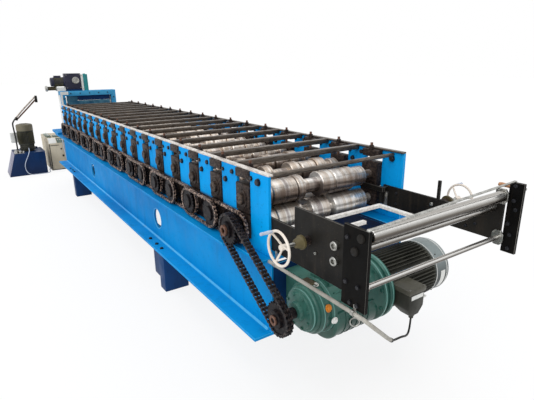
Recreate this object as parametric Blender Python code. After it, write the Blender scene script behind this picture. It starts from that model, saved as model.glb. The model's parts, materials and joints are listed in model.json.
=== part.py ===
"""Roll forming line for roofing sheet, seen as it stands in a works.

Two deep I-beams on two box sleepers carry a pair of slotted side frames. Seventeen forming stands
sit in the slots, chained to one another on the near side and driven from a reducer at the front.
An entry table guides the sheet in, a cutter stands at the far end, and the hydraulic tank and the
control cabinet stand on the floor beyond it.

Metres, +Z up, +X towards the entry, -Y is the chain side. The origin is on the floor, in the middle
of the sole of the front sleeper.
"""
import math

import bmesh
import bpy
from mathutils import Matrix, Vector

GAP = 0.0003

# Stands and side frames
STAND_PITCH = 0.36
STAND_COUNT = 17
SIDE_SPAN = 1.18
SIDE_PLATE = 0.02
POST_WIDTH = 0.20
FRONT_POST_X = 1.77
POST_TOP_Z = 1.394
SLOT_FLOOR_Z = 0.955

# Main beams
BEAM_SOLE_Z = 0.374
BEAM_TOP_Z = 0.902
BEAM_FLANGE_WIDTH = 0.27
BEAM_FLANGE_THICK = 0.02
BEAM_WEB_THICK = 0.014
BEAM_FRONT_OVERHANG = 0.12
BEAM_REAR_OVERHANG = 0.36
NOTCH_CLEAR = 0.01
LIFT_HOLE_RADIUS = 0.095
LIFT_HOLE_Z = 0.60
LIFT_HOLE_FRONT_X = -0.06
LIFT_HOLE_REAR_DX = 1.23

# Sleepers under the beams
SLEEPER_LENGTH = 0.35
SLEEPER_HALF_WIDTH = 0.62
REAR_SLEEPER_INSET = 0.50
FOOT_LENGTH = 0.13
FOOT_WIDTH = 0.23

# Cross members between the beams
CROSS_DEPTH = 0.46
CROSS_THICK = 0.02
FRONT_CROSS_INSET = 0.03
REAR_CROSS_INSET = 0.05

# Shafts, rolls and bearing blocks
LOWER_SHAFT_Z = 1.02
ROLL_CENTRES = 0.185
SHAFT_RADIUS = 0.034
UPPER_ROLL_RADIUS = 0.083
UPPER_HUMP_RADIUS = 0.09
UPPER_END_RADIUS = 0.075
ROLL_NIP = 0.002
BLOCK_THICK = 0.082
BLOCK_PROUD = 0.012
BLOCK_MARGIN = 0.075
SCREW_RADIUS = 0.009
SCREW_STAND = 0.035
CAP_HEIGHT = 0.05
ROUND_SIDES = 8

# Transfer chains between neighbouring shafts
SPROCKET_RADIUS = 0.085
CHAIN_HEIGHT = 0.022
CHAIN_WIDTH = 0.022
CHAIN_ROW_STEP = 0.028
CHAIN_ROW_CLEAR = 0.018
CHAIN_ROW_GAP = 0.006
CHAIN_CLEAR = 0.0003
CHAIN_ARC_STEPS = 4
SPROCKET_INSET = 0.004

# Drive at the front
DRIVE_AXIS_DX = 0.36
DRIVE_AXIS_Z = 0.66
DRIVE_CHAIN_WIDTH = 0.05
DRIVE_CHAIN_LINKS = 74
DRIVE_CHAIN_WAIST = 0.65
DRIVE_SHAFT_RADIUS = 0.035
REDUCER_INSET = 0.02
REDUCER_RADIUS = 0.155
REDUCER_LENGTH = 0.50
SUMP_RADIUS = 0.145
SUMP_DROP = 0.065
SUMP_START = 0.14
SUMP_LENGTH = 0.32
REDUCER_HUB_RADIUS = 0.06
REDUCER_HUB_LENGTH = 0.03
FLANGE_RADIUS = 0.21
FLANGE_LENGTH = 0.08
MOTOR_RADIUS = 0.185
MOTOR_LENGTH = 0.45
FAN_COVER_LENGTH = 0.14
FOOT_PAD_START = 0.10
FOOT_PAD_LENGTH = 0.26
FOOT_PAD_RISE = 0.14
TERMINAL_BOX_REACH = 0.305
TERMINAL_BOX_START = 0.01
TERMINAL_BOX_LENGTH = 0.14
TERMINAL_BOX_LOW_Z = 0.545
TERMINAL_BOX_TOP_Z = 0.73
GLAND_RADIUS = 0.014
GLAND_DROP = 0.025
GLAND_INSET = 0.035

# Top ties
TIE_BAR_WIDTH = 0.04
TIE_BAR_DEPTH = 0.034
TOP_STRIP_THICK = 0.012
TOP_STRIP_WIDTH = 0.036
SCREW_STRIP_CLEAR = 0.004
TIE_ROD_RADIUS = 0.014
TIE_ROD_DROP = 0.021

# Entry table
TABLE_PLATE = 0.014
TABLE_TONGUE = 0.12
NEAR_TABLE_START = 0.32
TABLE_REACH = 0.85
NEAR_TABLE_TOP_Z = 1.278
NEAR_TABLE_SOLE_Z = 0.945
NEAR_TONGUE_TOP_Z = 1.15
FAR_TABLE_TOP_Z = 1.14
FAR_TABLE_SOLE_Z = 0.985
FAR_TABLE_RISE_DX = 0.63
FAR_TABLE_SHOULDER_DX = 0.70
FAR_TABLE_SHOULDER_Z = 1.225
FAR_TABLE_HORN_DX = 0.79
FAR_TABLE_HORN_Z = 1.30
STOP_POST_DX = 0.40
STOP_POST_SIDE = 0.02
STOP_POST_TOP_Z = 1.265
TABLE_FOOT_REACH = 0.04
UPRIGHT_THICK = 0.02
NEAR_UPRIGHT_START = 0.723
NEAR_UPRIGHT_WIDTH = 0.157
NEAR_UPRIGHT_SOLE_Z = 0.90
NEAR_UPRIGHT_TOP_Z = 1.305
FAR_UPRIGHT_START = 0.857
FAR_UPRIGHT_WIDTH = 0.083
FAR_UPRIGHT_SOLE_Z = 0.925
FAR_UPRIGHT_TOP_Z = 1.35
TOP_ROLLER_DX = 0.835
TOP_ROLLER_Z = 1.262
TOP_ROLLER_RADIUS = 0.034
LOWER_ROLLER_DX = 0.80
LOWER_ROLLER_Z = 1.188
LOWER_ROLLER_RADIUS = 0.02
JOURNAL_RADIUS = 0.012
JOURNAL_CLEAR = 0.0006
RUNNING_CLEAR = 0.006
GUIDE_ROD_DX = 0.84
GUIDE_ROD_Z = 1.01
GUIDE_ROD_RADIUS = 0.0145
FLANGE_PLATE_THICK = 0.012
FLANGE_PLATE_WIDTH = 0.07
FLANGE_PLATE_HEIGHT = 0.09
FLAT_BAR_WIDTH = 0.045
FLAT_BAR_THICK = 0.008
FLAT_BAR_NEAR_DX = 0.80
FLAT_BAR_FAR_DX = 0.86
GUIDE_BAR_WIDTH = 0.03
GUIDE_BAR_DEPTH = 0.022
GUIDE_BAR_Z = 1.07
GUIDE_REAR_DX = 0.145
GUIDE_FRONT_DX = 0.32
GUIDE_SIDE_END_DX = 0.46
GUIDE_REAR_END_Y = 0.295
GUIDE_FRONT_END_Y = -0.04
HANDLE_DX = 0.86
HANDLE_Z = 1.30
HANDLE_REACH = 0.07
HANDLE_ROD_RADIUS = 0.008
HANDLE_GRIP_RADIUS = 0.013
HANDLE_GRIP_START = 0.075
HANDLE_GRIP_END = 0.155

# Cables and conduit that are held at both ends
CONDUIT_RADIUS = 0.011
CONDUIT_DROP = 0.015
CONDUIT_STAND_OFF = 0.002
CONDUIT_FALL = 0.296
MOTOR_CABLE_LOOP = 0.22
MOTOR_CABLE_RADIUS = 0.006
STATION_CABLE_RADIUS = 0.007

# Hand wheels
WHEEL_RADIUS = 0.10
WHEEL_RIM_RADIUS = 0.009
WHEEL_HUB_RADIUS = 0.02
WHEEL_SHAFT_RADIUS = 0.011
WHEEL_DX = 0.44
WHEEL_Z = 1.12
WHEEL_STAND_OFF = 0.17
WHEEL_BOSS_RADIUS = 0.03
WHEEL_BOSS_LENGTH = 0.085
WHEEL_GRIP_LENGTH = 0.08
WHEEL_RIM_SIDES = 20
WHEEL_TUBE_SIDES = 6
WHEEL_SPOKE_SIDE = 0.012

# Cutter behind the last stand
CUTTER_BED_LENGTH = 0.52
CUTTER_BED_THICK = 0.04
CUTTER_SETBACK = 0.40
CUTTER_DEPTH = 0.20
CUTTER_TOP_Z = 1.61
CUTTER_NEAR_Y = -0.535
CUTTER_FAR_Y = 0.425
CUTTER_LEG = 0.08
CUTTER_BEAM_HEIGHT = 0.085
BLADE_THICK = 0.04
BLADE_HEIGHT = 0.16
BLADE_PARK_Z = 1.20
BLADE_VEE = 0.02
BLADE_END_CLEAR = 0.006
BLADE_SHOE_CLEAR = 0.0005
BLADE_SHOE_HEIGHT = 0.05
LOWER_DIE_TOP_Z = 1.095
PRESS_UNIT_DEPTH = 0.16
PRESS_BLOCK_NEAR_Y = -0.42
PRESS_BLOCK_FAR_Y = -0.15
PRESS_BLOCK_HEIGHT = 0.30
PRESS_TANK_FAR_Y = -0.035
PRESS_TANK_HEIGHT = 0.285
PRESS_MOTOR_NEAR_Y = -0.652
PRESS_MOTOR_RADIUS = 0.082
PRESS_MOTOR_RISE = 0.16
PRESS_CYLINDER_NEAR_Y = -0.745
PRESS_CYLINDER_RADIUS = 0.05
PRESS_CYLINDER_RISE = 0.02
PRESS_BARREL_SEAT = 0.01
PRESS_SADDLE_NEAR_Y = -0.56

# Hydraulic station and cabinet on the floor
TANK_FRONT_X = -5.72
TANK_LENGTH = 0.60
TANK_NEAR_Y = -1.33
TANK_FAR_Y = -0.80
TANK_HEIGHT = 0.437
TANK_FLARE = 0.14
PUMP_MOTOR_RADIUS = 0.15
PUMP_MOTOR_HEIGHT = 0.53
PUMP_MOTOR_SIDES = 20
PUMP_FOOT_RADIUS = 0.12
PUMP_FOOT_HEIGHT = 0.03
PIPE_RADIUS = 0.014
PIPE_STEP = 0.034
PIPE_HEIGHT = 1.04
CABINET_FRONT_X = -5.89
CABINET_LENGTH = 0.94
CABINET_NEAR_Y = -0.70
CABINET_FAR_Y = -0.32
CABINET_HEIGHT = 0.64
CABINET_SLOPE = 0.16
CABINET_SLOPE_DROP = 0.10


def clear_scene():
    for obj in list(bpy.data.objects):
        bpy.data.objects.remove(obj, do_unlink=True)


def make_material(name, colour, rough, metal):
    material = bpy.data.materials.new(name)
    material.use_nodes = True
    shader = material.node_tree.nodes["Principled BSDF"]
    shader.inputs["Base Color"].default_value = (colour[0], colour[1], colour[2], 1.0)
    shader.inputs["Roughness"].default_value = rough
    shader.inputs["Metallic"].default_value = metal
    return material


def finish(name, bm, material, smooth=False, at=(0.0, 0.0, 0.0)):
    bmesh.ops.recalc_face_normals(bm, faces=bm.faces)
    mesh = bpy.data.meshes.new(name)
    bm.to_mesh(mesh)
    bm.free()
    mesh.materials.append(material)
    if smooth:
        mesh.shade_smooth()
        mesh.set_sharp_from_angle(angle=math.radians(40))
    obj = bpy.data.objects.new(name, mesh)
    obj.location = at
    bpy.context.scene.collection.objects.link(obj)
    return obj


def add_box(bm, low, high):
    size = Vector(high) - Vector(low)
    centre = (Vector(high) + Vector(low)) / 2
    place = Matrix.Translation(centre) @ Matrix.Diagonal((size.x, size.y, size.z, 1.0))
    bmesh.ops.create_cube(bm, size=1.0, matrix=place)


def add_plate(bm, outline, y_low, y_high):
    """Outline of (x, z) points, extruded along Y."""
    verts = [bm.verts.new((x, y_low, z)) for x, z in outline]
    face = bm.faces.new(verts)
    grown = bmesh.ops.extrude_face_region(bm, geom=[face])
    moved = [item for item in grown["geom"] if isinstance(item, bmesh.types.BMVert)]
    bmesh.ops.translate(bm, verts=moved, vec=(0.0, y_high - y_low, 0.0))


def add_bar(bm, outline, x_low, x_high):
    """Outline of (y, z) points, extruded along X."""
    verts = [bm.verts.new((x_low, y, z)) for y, z in outline]
    face = bm.faces.new(verts)
    grown = bmesh.ops.extrude_face_region(bm, geom=[face])
    moved = [item for item in grown["geom"] if isinstance(item, bmesh.types.BMVert)]
    bmesh.ops.translate(bm, verts=moved, vec=(x_high - x_low, 0.0, 0.0))


def add_turned(bm, profile, sides, centre=(0.0, 0.0, 0.0), axis="Y"):
    """Profile of (distance along the axis, radius) steps, turned about the axis."""
    rings = []
    for along, radius in profile:
        ring = []
        for side in range(sides):
            angle = 2 * math.pi * (side + 0.5) / sides
            across = radius * math.cos(angle)
            rise = radius * math.sin(angle)
            if axis == "Y":
                point = (across, along, rise)
            elif axis == "X":
                point = (along, across, rise)
            else:
                point = (across, rise, along)
            ring.append(bm.verts.new(Vector(centre) + Vector(point)))
        rings.append(ring)
    for first, second in zip(rings, rings[1:]):
        for side in range(sides):
            after = (side + 1) % sides
            bm.faces.new((first[side], first[after], second[after], second[side]))
    bm.faces.new(rings[0])
    bm.faces.new(rings[-1])


def add_tube(bm, points, radius, sides):
    """Round tube through points that bend in one upright plane."""
    rings = []
    for step, point in enumerate(points):
        before = Vector(points[max(step - 1, 0)])
        after = Vector(points[min(step + 1, len(points) - 1)])
        tangent = (after - before).normalized()
        across = tangent.orthogonal().normalized() if step == 0 else (across - tangent * across.dot(tangent))
        across.normalize()
        other = tangent.cross(across)
        ring = []
        for side in range(sides):
            angle = 2 * math.pi * side / sides
            offset = (across * math.cos(angle) + other * math.sin(angle)) * radius
            ring.append(bm.verts.new(Vector(point) + offset))
        rings.append(ring)
    for first, second in zip(rings, rings[1:]):
        for side in range(sides):
            after = (side + 1) % sides
            bm.faces.new((first[side], first[after], second[after], second[side]))
    bm.faces.new(rings[0])
    bm.faces.new(rings[-1])


def smooth_route(points, spacing):
    """Places a given spacing apart on one smooth curve through the route's own points."""
    knots = [Vector(point) for point in points]
    knots = [2 * knots[0] - knots[1]] + knots + [2 * knots[-1] - knots[-2]]
    route = []
    for a, b, c, d in zip(knots, knots[1:], knots[2:], knots[3:]):
        steps = max(1, round((c - b).length / spacing))
        for step in range(steps):
            t = step / steps
            route.append(0.5 * (2 * b + (c - a) * t + (2 * a - 5 * b + 4 * c - d) * t ** 2
                                + (3 * b - a - 3 * c + d) * t ** 3))
    route.append(knots[-2])
    return route


def held_cable(name, points, radius, paint):
    """Round cable along a smooth route, held at both ends; gives the route back."""
    route = smooth_route(points, 5 * radius)
    curve = bpy.data.curves.new(name, "CURVE")
    curve.dimensions = "3D"
    curve.bevel_depth = radius
    curve.bevel_resolution = 2
    curve.use_fill_caps = True
    curve.materials.append(paint)
    spline = curve.splines.new("POLY")
    spline.points.add(len(route) - 1)
    for point, place in zip(spline.points, route):
        point.co = (place.x, place.y, place.z, 1.0)
    bpy.context.scene.collection.objects.link(bpy.data.objects.new(name, curve))
    return route


def combine(target, tool, operation):
    """Boolean of two closed solids, kept as the target's own mesh."""
    modifier = target.modifiers.new("combine", "BOOLEAN")
    modifier.operation = operation
    modifier.object = tool
    modifier.solver = "EXACT"
    bpy.context.view_layer.update()
    graph = bpy.context.evaluated_depsgraph_get()
    mesh = bpy.data.meshes.new_from_object(target.evaluated_get(graph))
    target.modifiers.clear()
    target.data = mesh
    bpy.data.objects.remove(tool, do_unlink=True)


def drilled(target, centre, radius, y_low, y_high, sides=16):
    """Round hole along Y."""
    bm = bmesh.new()
    add_turned(bm, [(y_low, radius), (y_high, radius)], sides, (centre[0], 0.0, centre[1]))
    combine(target, finish("drill", bm, target.data.materials[0]), "DIFFERENCE")


def post_x(index):
    return FRONT_POST_X - STAND_PITCH * index


def stand_x(index):
    return FRONT_POST_X - STAND_PITCH * (index + 0.5)


FACE_Y = SIDE_SPAN / 2
INNER_Y = FACE_Y - SIDE_PLATE
WEB_Y = FACE_Y - SIDE_PLATE / 2
SCREW_Y = FACE_Y - TOP_STRIP_WIDTH - SCREW_STRIP_CLEAR - SCREW_RADIUS
SLOT_WIDTH = STAND_PITCH - POST_WIDTH
BEAM_FRONT_X = FRONT_POST_X + BEAM_FRONT_OVERHANG
BEAM_REAR_X = post_x(STAND_COUNT) - BEAM_REAR_OVERHANG
DRIVE_AXIS_X = FRONT_POST_X + DRIVE_AXIS_DX
PLATE_NEAR_Y = -INNER_Y + GAP
SPROCKET_ROW_Y = -(FACE_Y + BLOCK_PROUD + CHAIN_ROW_CLEAR + CHAIN_WIDTH / 2)
DRIVE_ROW_Y = SPROCKET_ROW_Y - CHAIN_ROW_STEP - CHAIN_WIDTH / 2 - DRIVE_CHAIN_WIDTH / 2 - CHAIN_ROW_GAP
REAR_SLEEPER_X = post_x(STAND_COUNT) + REAR_SLEEPER_INSET
LIFT_HOLE_REAR_X = REAR_SLEEPER_X + LIFT_HOLE_REAR_DX
TABLE_END_X = FRONT_POST_X + TABLE_REACH
UPRIGHT_OUTER_Y = INNER_Y + UPRIGHT_THICK
PLATE_INSIDE_Y = -(PLATE_NEAR_Y + TABLE_PLATE)
FLANGE_FACE_Y = PLATE_INSIDE_Y - GAP - FLANGE_PLATE_THICK
TOP_ROLLER_X = FRONT_POST_X + TOP_ROLLER_DX
LOWER_ROLLER_X = FRONT_POST_X + LOWER_ROLLER_DX
GUIDE_ROD_X = FRONT_POST_X + GUIDE_ROD_DX
WHEEL_X = FRONT_POST_X + WHEEL_DX
MOTOR_NEAR_Y = -FACE_Y + REDUCER_INSET + REDUCER_LENGTH + FLANGE_LENGTH
LOWER_ROLL_RADIUS = ROLL_CENTRES - UPPER_ROLL_RADIUS - ROLL_NIP
LOWER_GROOVE_RADIUS = ROLL_CENTRES - UPPER_HUMP_RADIUS - ROLL_NIP
LOWER_END_RADIUS = LOWER_ROLL_RADIUS - 0.01


def beam(name, side, paint):
    """I-beam along X with two round lifting holes through its web."""
    half_flange = BEAM_FLANGE_WIDTH / 2
    half_web = BEAM_WEB_THICK / 2
    low = BEAM_SOLE_Z
    high = BEAM_TOP_Z
    thick = BEAM_FLANGE_THICK
    centre = side * WEB_Y
    outline = [
        (-half_flange, low), (half_flange, low), (half_flange, low + thick),
        (half_web, low + thick), (half_web, high - thick), (half_flange, high - thick),
        (half_flange, high), (-half_flange, high), (-half_flange, high - thick),
        (-half_web, high - thick), (-half_web, low + thick), (-half_flange, low + thick),
    ]
    bm = bmesh.new()
    add_bar(bm, [(centre + y, z) for y, z in outline], BEAM_REAR_X, BEAM_FRONT_X)
    obj = finish(name, bm, paint)
    for hole_x in (LIFT_HOLE_FRONT_X, LIFT_HOLE_REAR_X):
        drilled(obj, (hole_x, LIFT_HOLE_Z), LIFT_HOLE_RADIUS, centre - 0.05, centre + 0.05, 20)
    return obj


def notch_for_chain(obj):
    """Clears the outer top flange at the front, where the drive chain runs down past it."""
    chain_inside = DRIVE_ROW_Y + DRIVE_CHAIN_WIDTH / 2 + NOTCH_CLEAR
    start = stand_x(0) - SPROCKET_RADIUS + NOTCH_CLEAR
    low = BEAM_TOP_Z - BEAM_FLANGE_THICK - NOTCH_CLEAR
    bm = bmesh.new()
    add_box(bm, (start, DRIVE_ROW_Y - DRIVE_CHAIN_WIDTH, low),
            (BEAM_FRONT_X + NOTCH_CLEAR, chain_inside, BEAM_TOP_Z + NOTCH_CLEAR))
    combine(obj, finish("notch", bm, obj.data.materials[0]), "DIFFERENCE")


def cross_member(name, x_low, paint):
    """Plate between the two webs with a flange top and bottom."""
    reach = WEB_Y - BEAM_WEB_THICK / 2 - GAP
    low = BEAM_SOLE_Z + BEAM_FLANGE_THICK + GAP
    high = low + CROSS_DEPTH
    bm = bmesh.new()
    add_box(bm, (x_low, -reach, low), (x_low + CROSS_THICK, reach, high))
    return finish(name, bm, paint)


def sleeper(name, centre_x, paint):
    """Box sleeper across both beams with a square foot in front under each beam."""
    top = BEAM_SOLE_Z - GAP
    half = SLEEPER_LENGTH / 2
    bm = bmesh.new()
    outline = [(-half, -SLEEPER_HALF_WIDTH), (half, -SLEEPER_HALF_WIDTH)]
    for side in (-1, 1):
        outer = side * (WEB_Y + FOOT_WIDTH / 2)
        inner = side * (WEB_Y - FOOT_WIDTH / 2)
        first, second = (outer, inner) if side < 0 else (inner, outer)
        outline += [(half, first), (half + FOOT_LENGTH, first), (half + FOOT_LENGTH, second), (half, second)]
    outline += [(half, SLEEPER_HALF_WIDTH), (-half, SLEEPER_HALF_WIDTH)]
    verts = [bm.verts.new((centre_x + x, y, 0.0)) for x, y in outline]
    face = bm.faces.new(verts)
    grown = bmesh.ops.extrude_face_region(bm, geom=[face])
    moved = [item for item in grown["geom"] if isinstance(item, bmesh.types.BMVert)]
    bmesh.ops.translate(bm, verts=moved, vec=(0.0, 0.0, top))
    bmesh.ops.remove_doubles(bm, verts=bm.verts, dist=0.00005)
    return finish(name, bm, paint)


def side_frame(name, side, paint):
    """Comb of posts on one rail, with a slot for each stand's bearing blocks."""
    low = BEAM_TOP_Z + GAP
    half = POST_WIDTH / 2
    outline = [(post_x(STAND_COUNT) - half, low), (post_x(0) + half, low)]
    for index in range(STAND_COUNT + 1):
        outline.append((post_x(index) + half, SLOT_FLOOR_Z))
        outline.append((post_x(index) + half, POST_TOP_Z))
        outline.append((post_x(index) - half, POST_TOP_Z))
        outline.append((post_x(index) - half, SLOT_FLOOR_Z))
    outline.pop(2)
    outline.pop(-1)
    bm = bmesh.new()
    add_plate(bm, outline, min(side * FACE_Y, side * INNER_Y), max(side * FACE_Y, side * INNER_Y))
    return finish(name, bm, paint)


def roll_profile(rings, y_low, y_high):
    """Shaft with rings of (centre, half width, radius) along it."""
    profile = [(y_low, SHAFT_RADIUS)]
    for centre, half, radius in rings:
        profile.append((centre - half, SHAFT_RADIUS))
        profile.append((centre - half, radius))
        profile.append((centre + half, radius))
        profile.append((centre + half, SHAFT_RADIUS))
    profile.append((y_high, SHAFT_RADIUS))
    return profile


FIRST_UPPER = [(-0.357, 0.143, UPPER_ROLL_RADIUS), (-0.184, 0.029, UPPER_HUMP_RADIUS),
               (0.054, 0.058, UPPER_HUMP_RADIUS), (0.209, 0.091, UPPER_ROLL_RADIUS),
               (0.363, 0.06, UPPER_END_RADIUS)]
FIRST_LOWER = [(-0.442, 0.056, LOWER_ROLL_RADIUS), (-0.275, 0.105, LOWER_ROLL_RADIUS),
               (-0.012, 0.078, LOWER_GROOVE_RADIUS), (0.205, 0.095, LOWER_ROLL_RADIUS),
               (0.367, 0.063, LOWER_END_RADIUS)]
UPPER_RINGS = [(-0.335, 0.065, UPPER_ROLL_RADIUS), (-0.19, 0.035, UPPER_HUMP_RADIUS),
               (0.05, 0.04, UPPER_HUMP_RADIUS), (0.235, 0.11, UPPER_ROLL_RADIUS)]
LOWER_RINGS = [(-0.367, 0.122, LOWER_ROLL_RADIUS), (-0.075, 0.065, LOWER_GROOVE_RADIUS),
               (0.235, 0.135, LOWER_ROLL_RADIUS)]


def chain_loop(bm, row_y):
    """Loop round this shaft's sprocket and the next one towards the cutter."""
    outer = SPROCKET_RADIUS + CHAIN_HEIGHT
    flat = math.cos(math.pi / (2 * CHAIN_ARC_STEPS))
    held = SPROCKET_RADIUS * flat - 0.002
    clear = (SPROCKET_RADIUS + CHAIN_CLEAR) / flat
    outlines = []
    for here, there in ((outer, outer), (held, clear)):
        points = []
        for centre_x, radius, start in ((0.0, here, math.pi / 2), (-STAND_PITCH, there, -math.pi / 2)):
            for step in range(CHAIN_ARC_STEPS + 1):
                angle = start - math.pi * step / CHAIN_ARC_STEPS
                points.append((centre_x + radius * math.cos(angle), radius * math.sin(angle)))
        outlines.append(points)
    low = row_y - CHAIN_WIDTH / 2
    high = row_y + CHAIN_WIDTH / 2
    add_loop_band(bm, outlines[0], outlines[1], low, high)


def add_loop_band(bm, outer, inner, y_low, y_high):
    """Closed band between two (x, z) outlines that have the same count of points."""
    rings = []
    for points, y in ((outer, y_low), (outer, y_high), (inner, y_high), (inner, y_low)):
        rings.append([bm.verts.new((x, y, z)) for x, z in points])
    count = len(outer)
    for first, second in zip(rings, rings[1:] + rings[:1]):
        for step in range(count):
            after = (step + 1) % count
            bm.faces.new((first[step], first[after], second[after], second[step]))


def forming_stand(name, index, steel, upper, lower, chain_row, extra_sprocket=False):
    """Both shafts with their rolls, bearing blocks, screws and sprockets, about the lower shaft."""
    near_end = SPROCKET_ROW_Y - CHAIN_ROW_STEP - CHAIN_WIDTH / 2 - SPROCKET_INSET
    if extra_sprocket:
        near_end = DRIVE_ROW_Y - DRIVE_CHAIN_WIDTH / 2 - SPROCKET_INSET
    block_low = -FACE_Y - BLOCK_PROUD
    block_high = block_low + BLOCK_THICK
    half_block = SLOT_WIDTH / 2 - GAP
    block_sole = SLOT_FLOOR_Z + GAP - LOWER_SHAFT_Z
    block_top = ROLL_CENTRES + BLOCK_MARGIN
    top = POST_TOP_Z - LOWER_SHAFT_Z
    half_pair = (CHAIN_ROW_STEP + CHAIN_WIDTH) / 2 - SPROCKET_INSET
    sprockets = [(SPROCKET_ROW_Y - CHAIN_ROW_STEP / 2, half_pair, SPROCKET_RADIUS)]
    if extra_sprocket:
        sprockets.insert(0, (DRIVE_ROW_Y, DRIVE_CHAIN_WIDTH / 2 - SPROCKET_INSET, SPROCKET_RADIUS))
    bm = bmesh.new()
    add_turned(bm, roll_profile(sprockets + lower, near_end, -block_low), ROUND_SIDES)
    base = finish(name, bm, steel, True)
    bm = bmesh.new()
    add_turned(bm, roll_profile(upper, block_low - 0.004, -block_low + 0.004), ROUND_SIDES,
               (0.0, 0.0, ROLL_CENTRES))
    combine(base, finish("upper", bm, steel), "UNION")
    bm = bmesh.new()
    for side in (-1, 1):
        low_y, high_y = (block_low, block_high) if side < 0 else (-block_high, -block_low)
        add_box(bm, (-half_block, low_y, block_sole), (half_block, high_y, block_top))
    combine(base, finish("blocks", bm, steel), "UNION")
    bm = bmesh.new()
    for side in (-1, 1):
        screw_y = side * SCREW_Y
        profile = [(block_top - 0.01, SCREW_RADIUS), (top + SCREW_STAND, SCREW_RADIUS)]
        add_turned(bm, profile, 6, (0.0, screw_y, 0.0), "Z")
    combine(base, finish("screws", bm, steel), "UNION")
    bm = bmesh.new()
    for side in (-1, 1):
        low_y, high_y = sorted((side * FACE_Y, side * (FACE_Y - BLOCK_THICK + BLOCK_PROUD)))
        add_box(bm, (-half_block, low_y, top - CAP_HEIGHT), (half_block, high_y, top - 0.002))
    combine(base, finish("caps", bm, steel), "UNION")
    if chain_row is not None:
        bm = bmesh.new()
        chain_loop(bm, SPROCKET_ROW_Y - chain_row * CHAIN_ROW_STEP)
        combine(base, finish("chain", bm, steel), "UNION")
    base.location = (stand_x(index), 0.0, LOWER_SHAFT_Z)
    return base


def top_ties(name, steel):
    """Strip along the top of each side frame with a bar across at every post but the front one."""
    low = POST_TOP_Z + GAP
    high = low + TOP_STRIP_THICK
    rear = post_x(STAND_COUNT) - POST_WIDTH / 2
    front = post_x(0) + POST_WIDTH / 2
    bm = bmesh.new()
    for side in (-1, 1):
        low_y, high_y = sorted((side * FACE_Y, side * (FACE_Y - TOP_STRIP_WIDTH)))
        add_box(bm, (rear, low_y, low), (front, high_y, high))
    obj = finish(name, bm, steel)
    bm = bmesh.new()
    reach = INNER_Y - GAP
    half = TIE_BAR_WIDTH / 2
    for index in range(1, STAND_COUNT + 1):
        add_box(bm, (post_x(index) - half, -reach, high - 0.002 - TIE_BAR_DEPTH),
                (post_x(index) + half, reach, high - 0.002))
    combine(obj, finish("bars", bm, steel), "UNION")
    return obj


def rod_between(name, x, z, radius, y_low, y_high, steel, sides=16):
    bm = bmesh.new()
    add_turned(bm, [(y_low, radius), (y_high, radius)], sides)
    return finish(name, bm, steel, True, (x, 0.0, z))


def entry_roller(name, x, z, radius, steel):
    """Roller on two journals that run in the table's plates."""
    face = FLANGE_FACE_Y - RUNNING_CLEAR
    end = UPRIGHT_OUTER_Y + SPROCKET_INSET
    bm = bmesh.new()
    profile = [(-end, JOURNAL_RADIUS), (-face, JOURNAL_RADIUS), (-face, radius),
               (face, radius), (face, JOURNAL_RADIUS), (end, JOURNAL_RADIUS)]
    add_turned(bm, profile, 20)
    return finish(name, bm, steel, True, (x, 0.0, z))


def near_table_plate(paint):
    post_face = FRONT_POST_X - TABLE_TONGUE / 2
    step_x = FRONT_POST_X + NEAR_TABLE_START
    outline = [(post_face, NEAR_TABLE_SOLE_Z), (TABLE_END_X, NEAR_TABLE_SOLE_Z),
               (TABLE_END_X, NEAR_TABLE_TOP_Z), (step_x, NEAR_TABLE_TOP_Z),
               (step_x, NEAR_TONGUE_TOP_Z), (post_face, NEAR_TONGUE_TOP_Z)]
    bm = bmesh.new()
    add_plate(bm, outline, PLATE_NEAR_Y, PLATE_NEAR_Y + TABLE_PLATE)
    return finish("near_table_plate", bm, paint)


def far_table_plate(paint):
    """Low plate that rises to carry the rollers, with a stop post and a foot flange against the post."""
    post_face = FRONT_POST_X - TABLE_TONGUE / 2
    stop_x = FRONT_POST_X + STOP_POST_DX
    outline = [(post_face, FAR_TABLE_SOLE_Z), (TABLE_END_X, FAR_TABLE_SOLE_Z),
               (TABLE_END_X, FAR_TABLE_HORN_Z), (FRONT_POST_X + FAR_TABLE_HORN_DX, FAR_TABLE_HORN_Z),
               (FRONT_POST_X + FAR_TABLE_HORN_DX, FAR_TABLE_SHOULDER_Z),
               (FRONT_POST_X + FAR_TABLE_SHOULDER_DX, FAR_TABLE_SHOULDER_Z),
               (FRONT_POST_X + FAR_TABLE_RISE_DX, FAR_TABLE_TOP_Z),
               (stop_x + STOP_POST_SIDE, FAR_TABLE_TOP_Z), (stop_x + STOP_POST_SIDE, STOP_POST_TOP_Z),
               (stop_x, STOP_POST_TOP_Z), (stop_x, FAR_TABLE_TOP_Z), (post_face, FAR_TABLE_TOP_Z)]
    bm = bmesh.new()
    add_plate(bm, outline, PLATE_INSIDE_Y, -PLATE_NEAR_Y)
    plate = finish("far_table_plate", bm, paint)
    bm = bmesh.new()
    add_box(bm, (post_face, PLATE_INSIDE_Y - TABLE_FOOT_REACH, FAR_TABLE_SOLE_Z + TABLE_PLATE),
            (post_face + TABLE_PLATE, PLATE_INSIDE_Y + TABLE_PLATE / 2, FAR_TABLE_TOP_Z - TABLE_PLATE))
    combine(plate, finish("foot", bm, paint), "UNION")
    return plate


def upright(name, side, start, width, sole, top, paint):
    """Upright bolted on the outside of a table plate."""
    low_y, high_y = sorted((side * INNER_Y, side * UPRIGHT_OUTER_Y))
    bm = bmesh.new()
    add_box(bm, (FRONT_POST_X + start, low_y, sole), (FRONT_POST_X + start + width, high_y, top))
    return finish(name, bm, paint)


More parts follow.
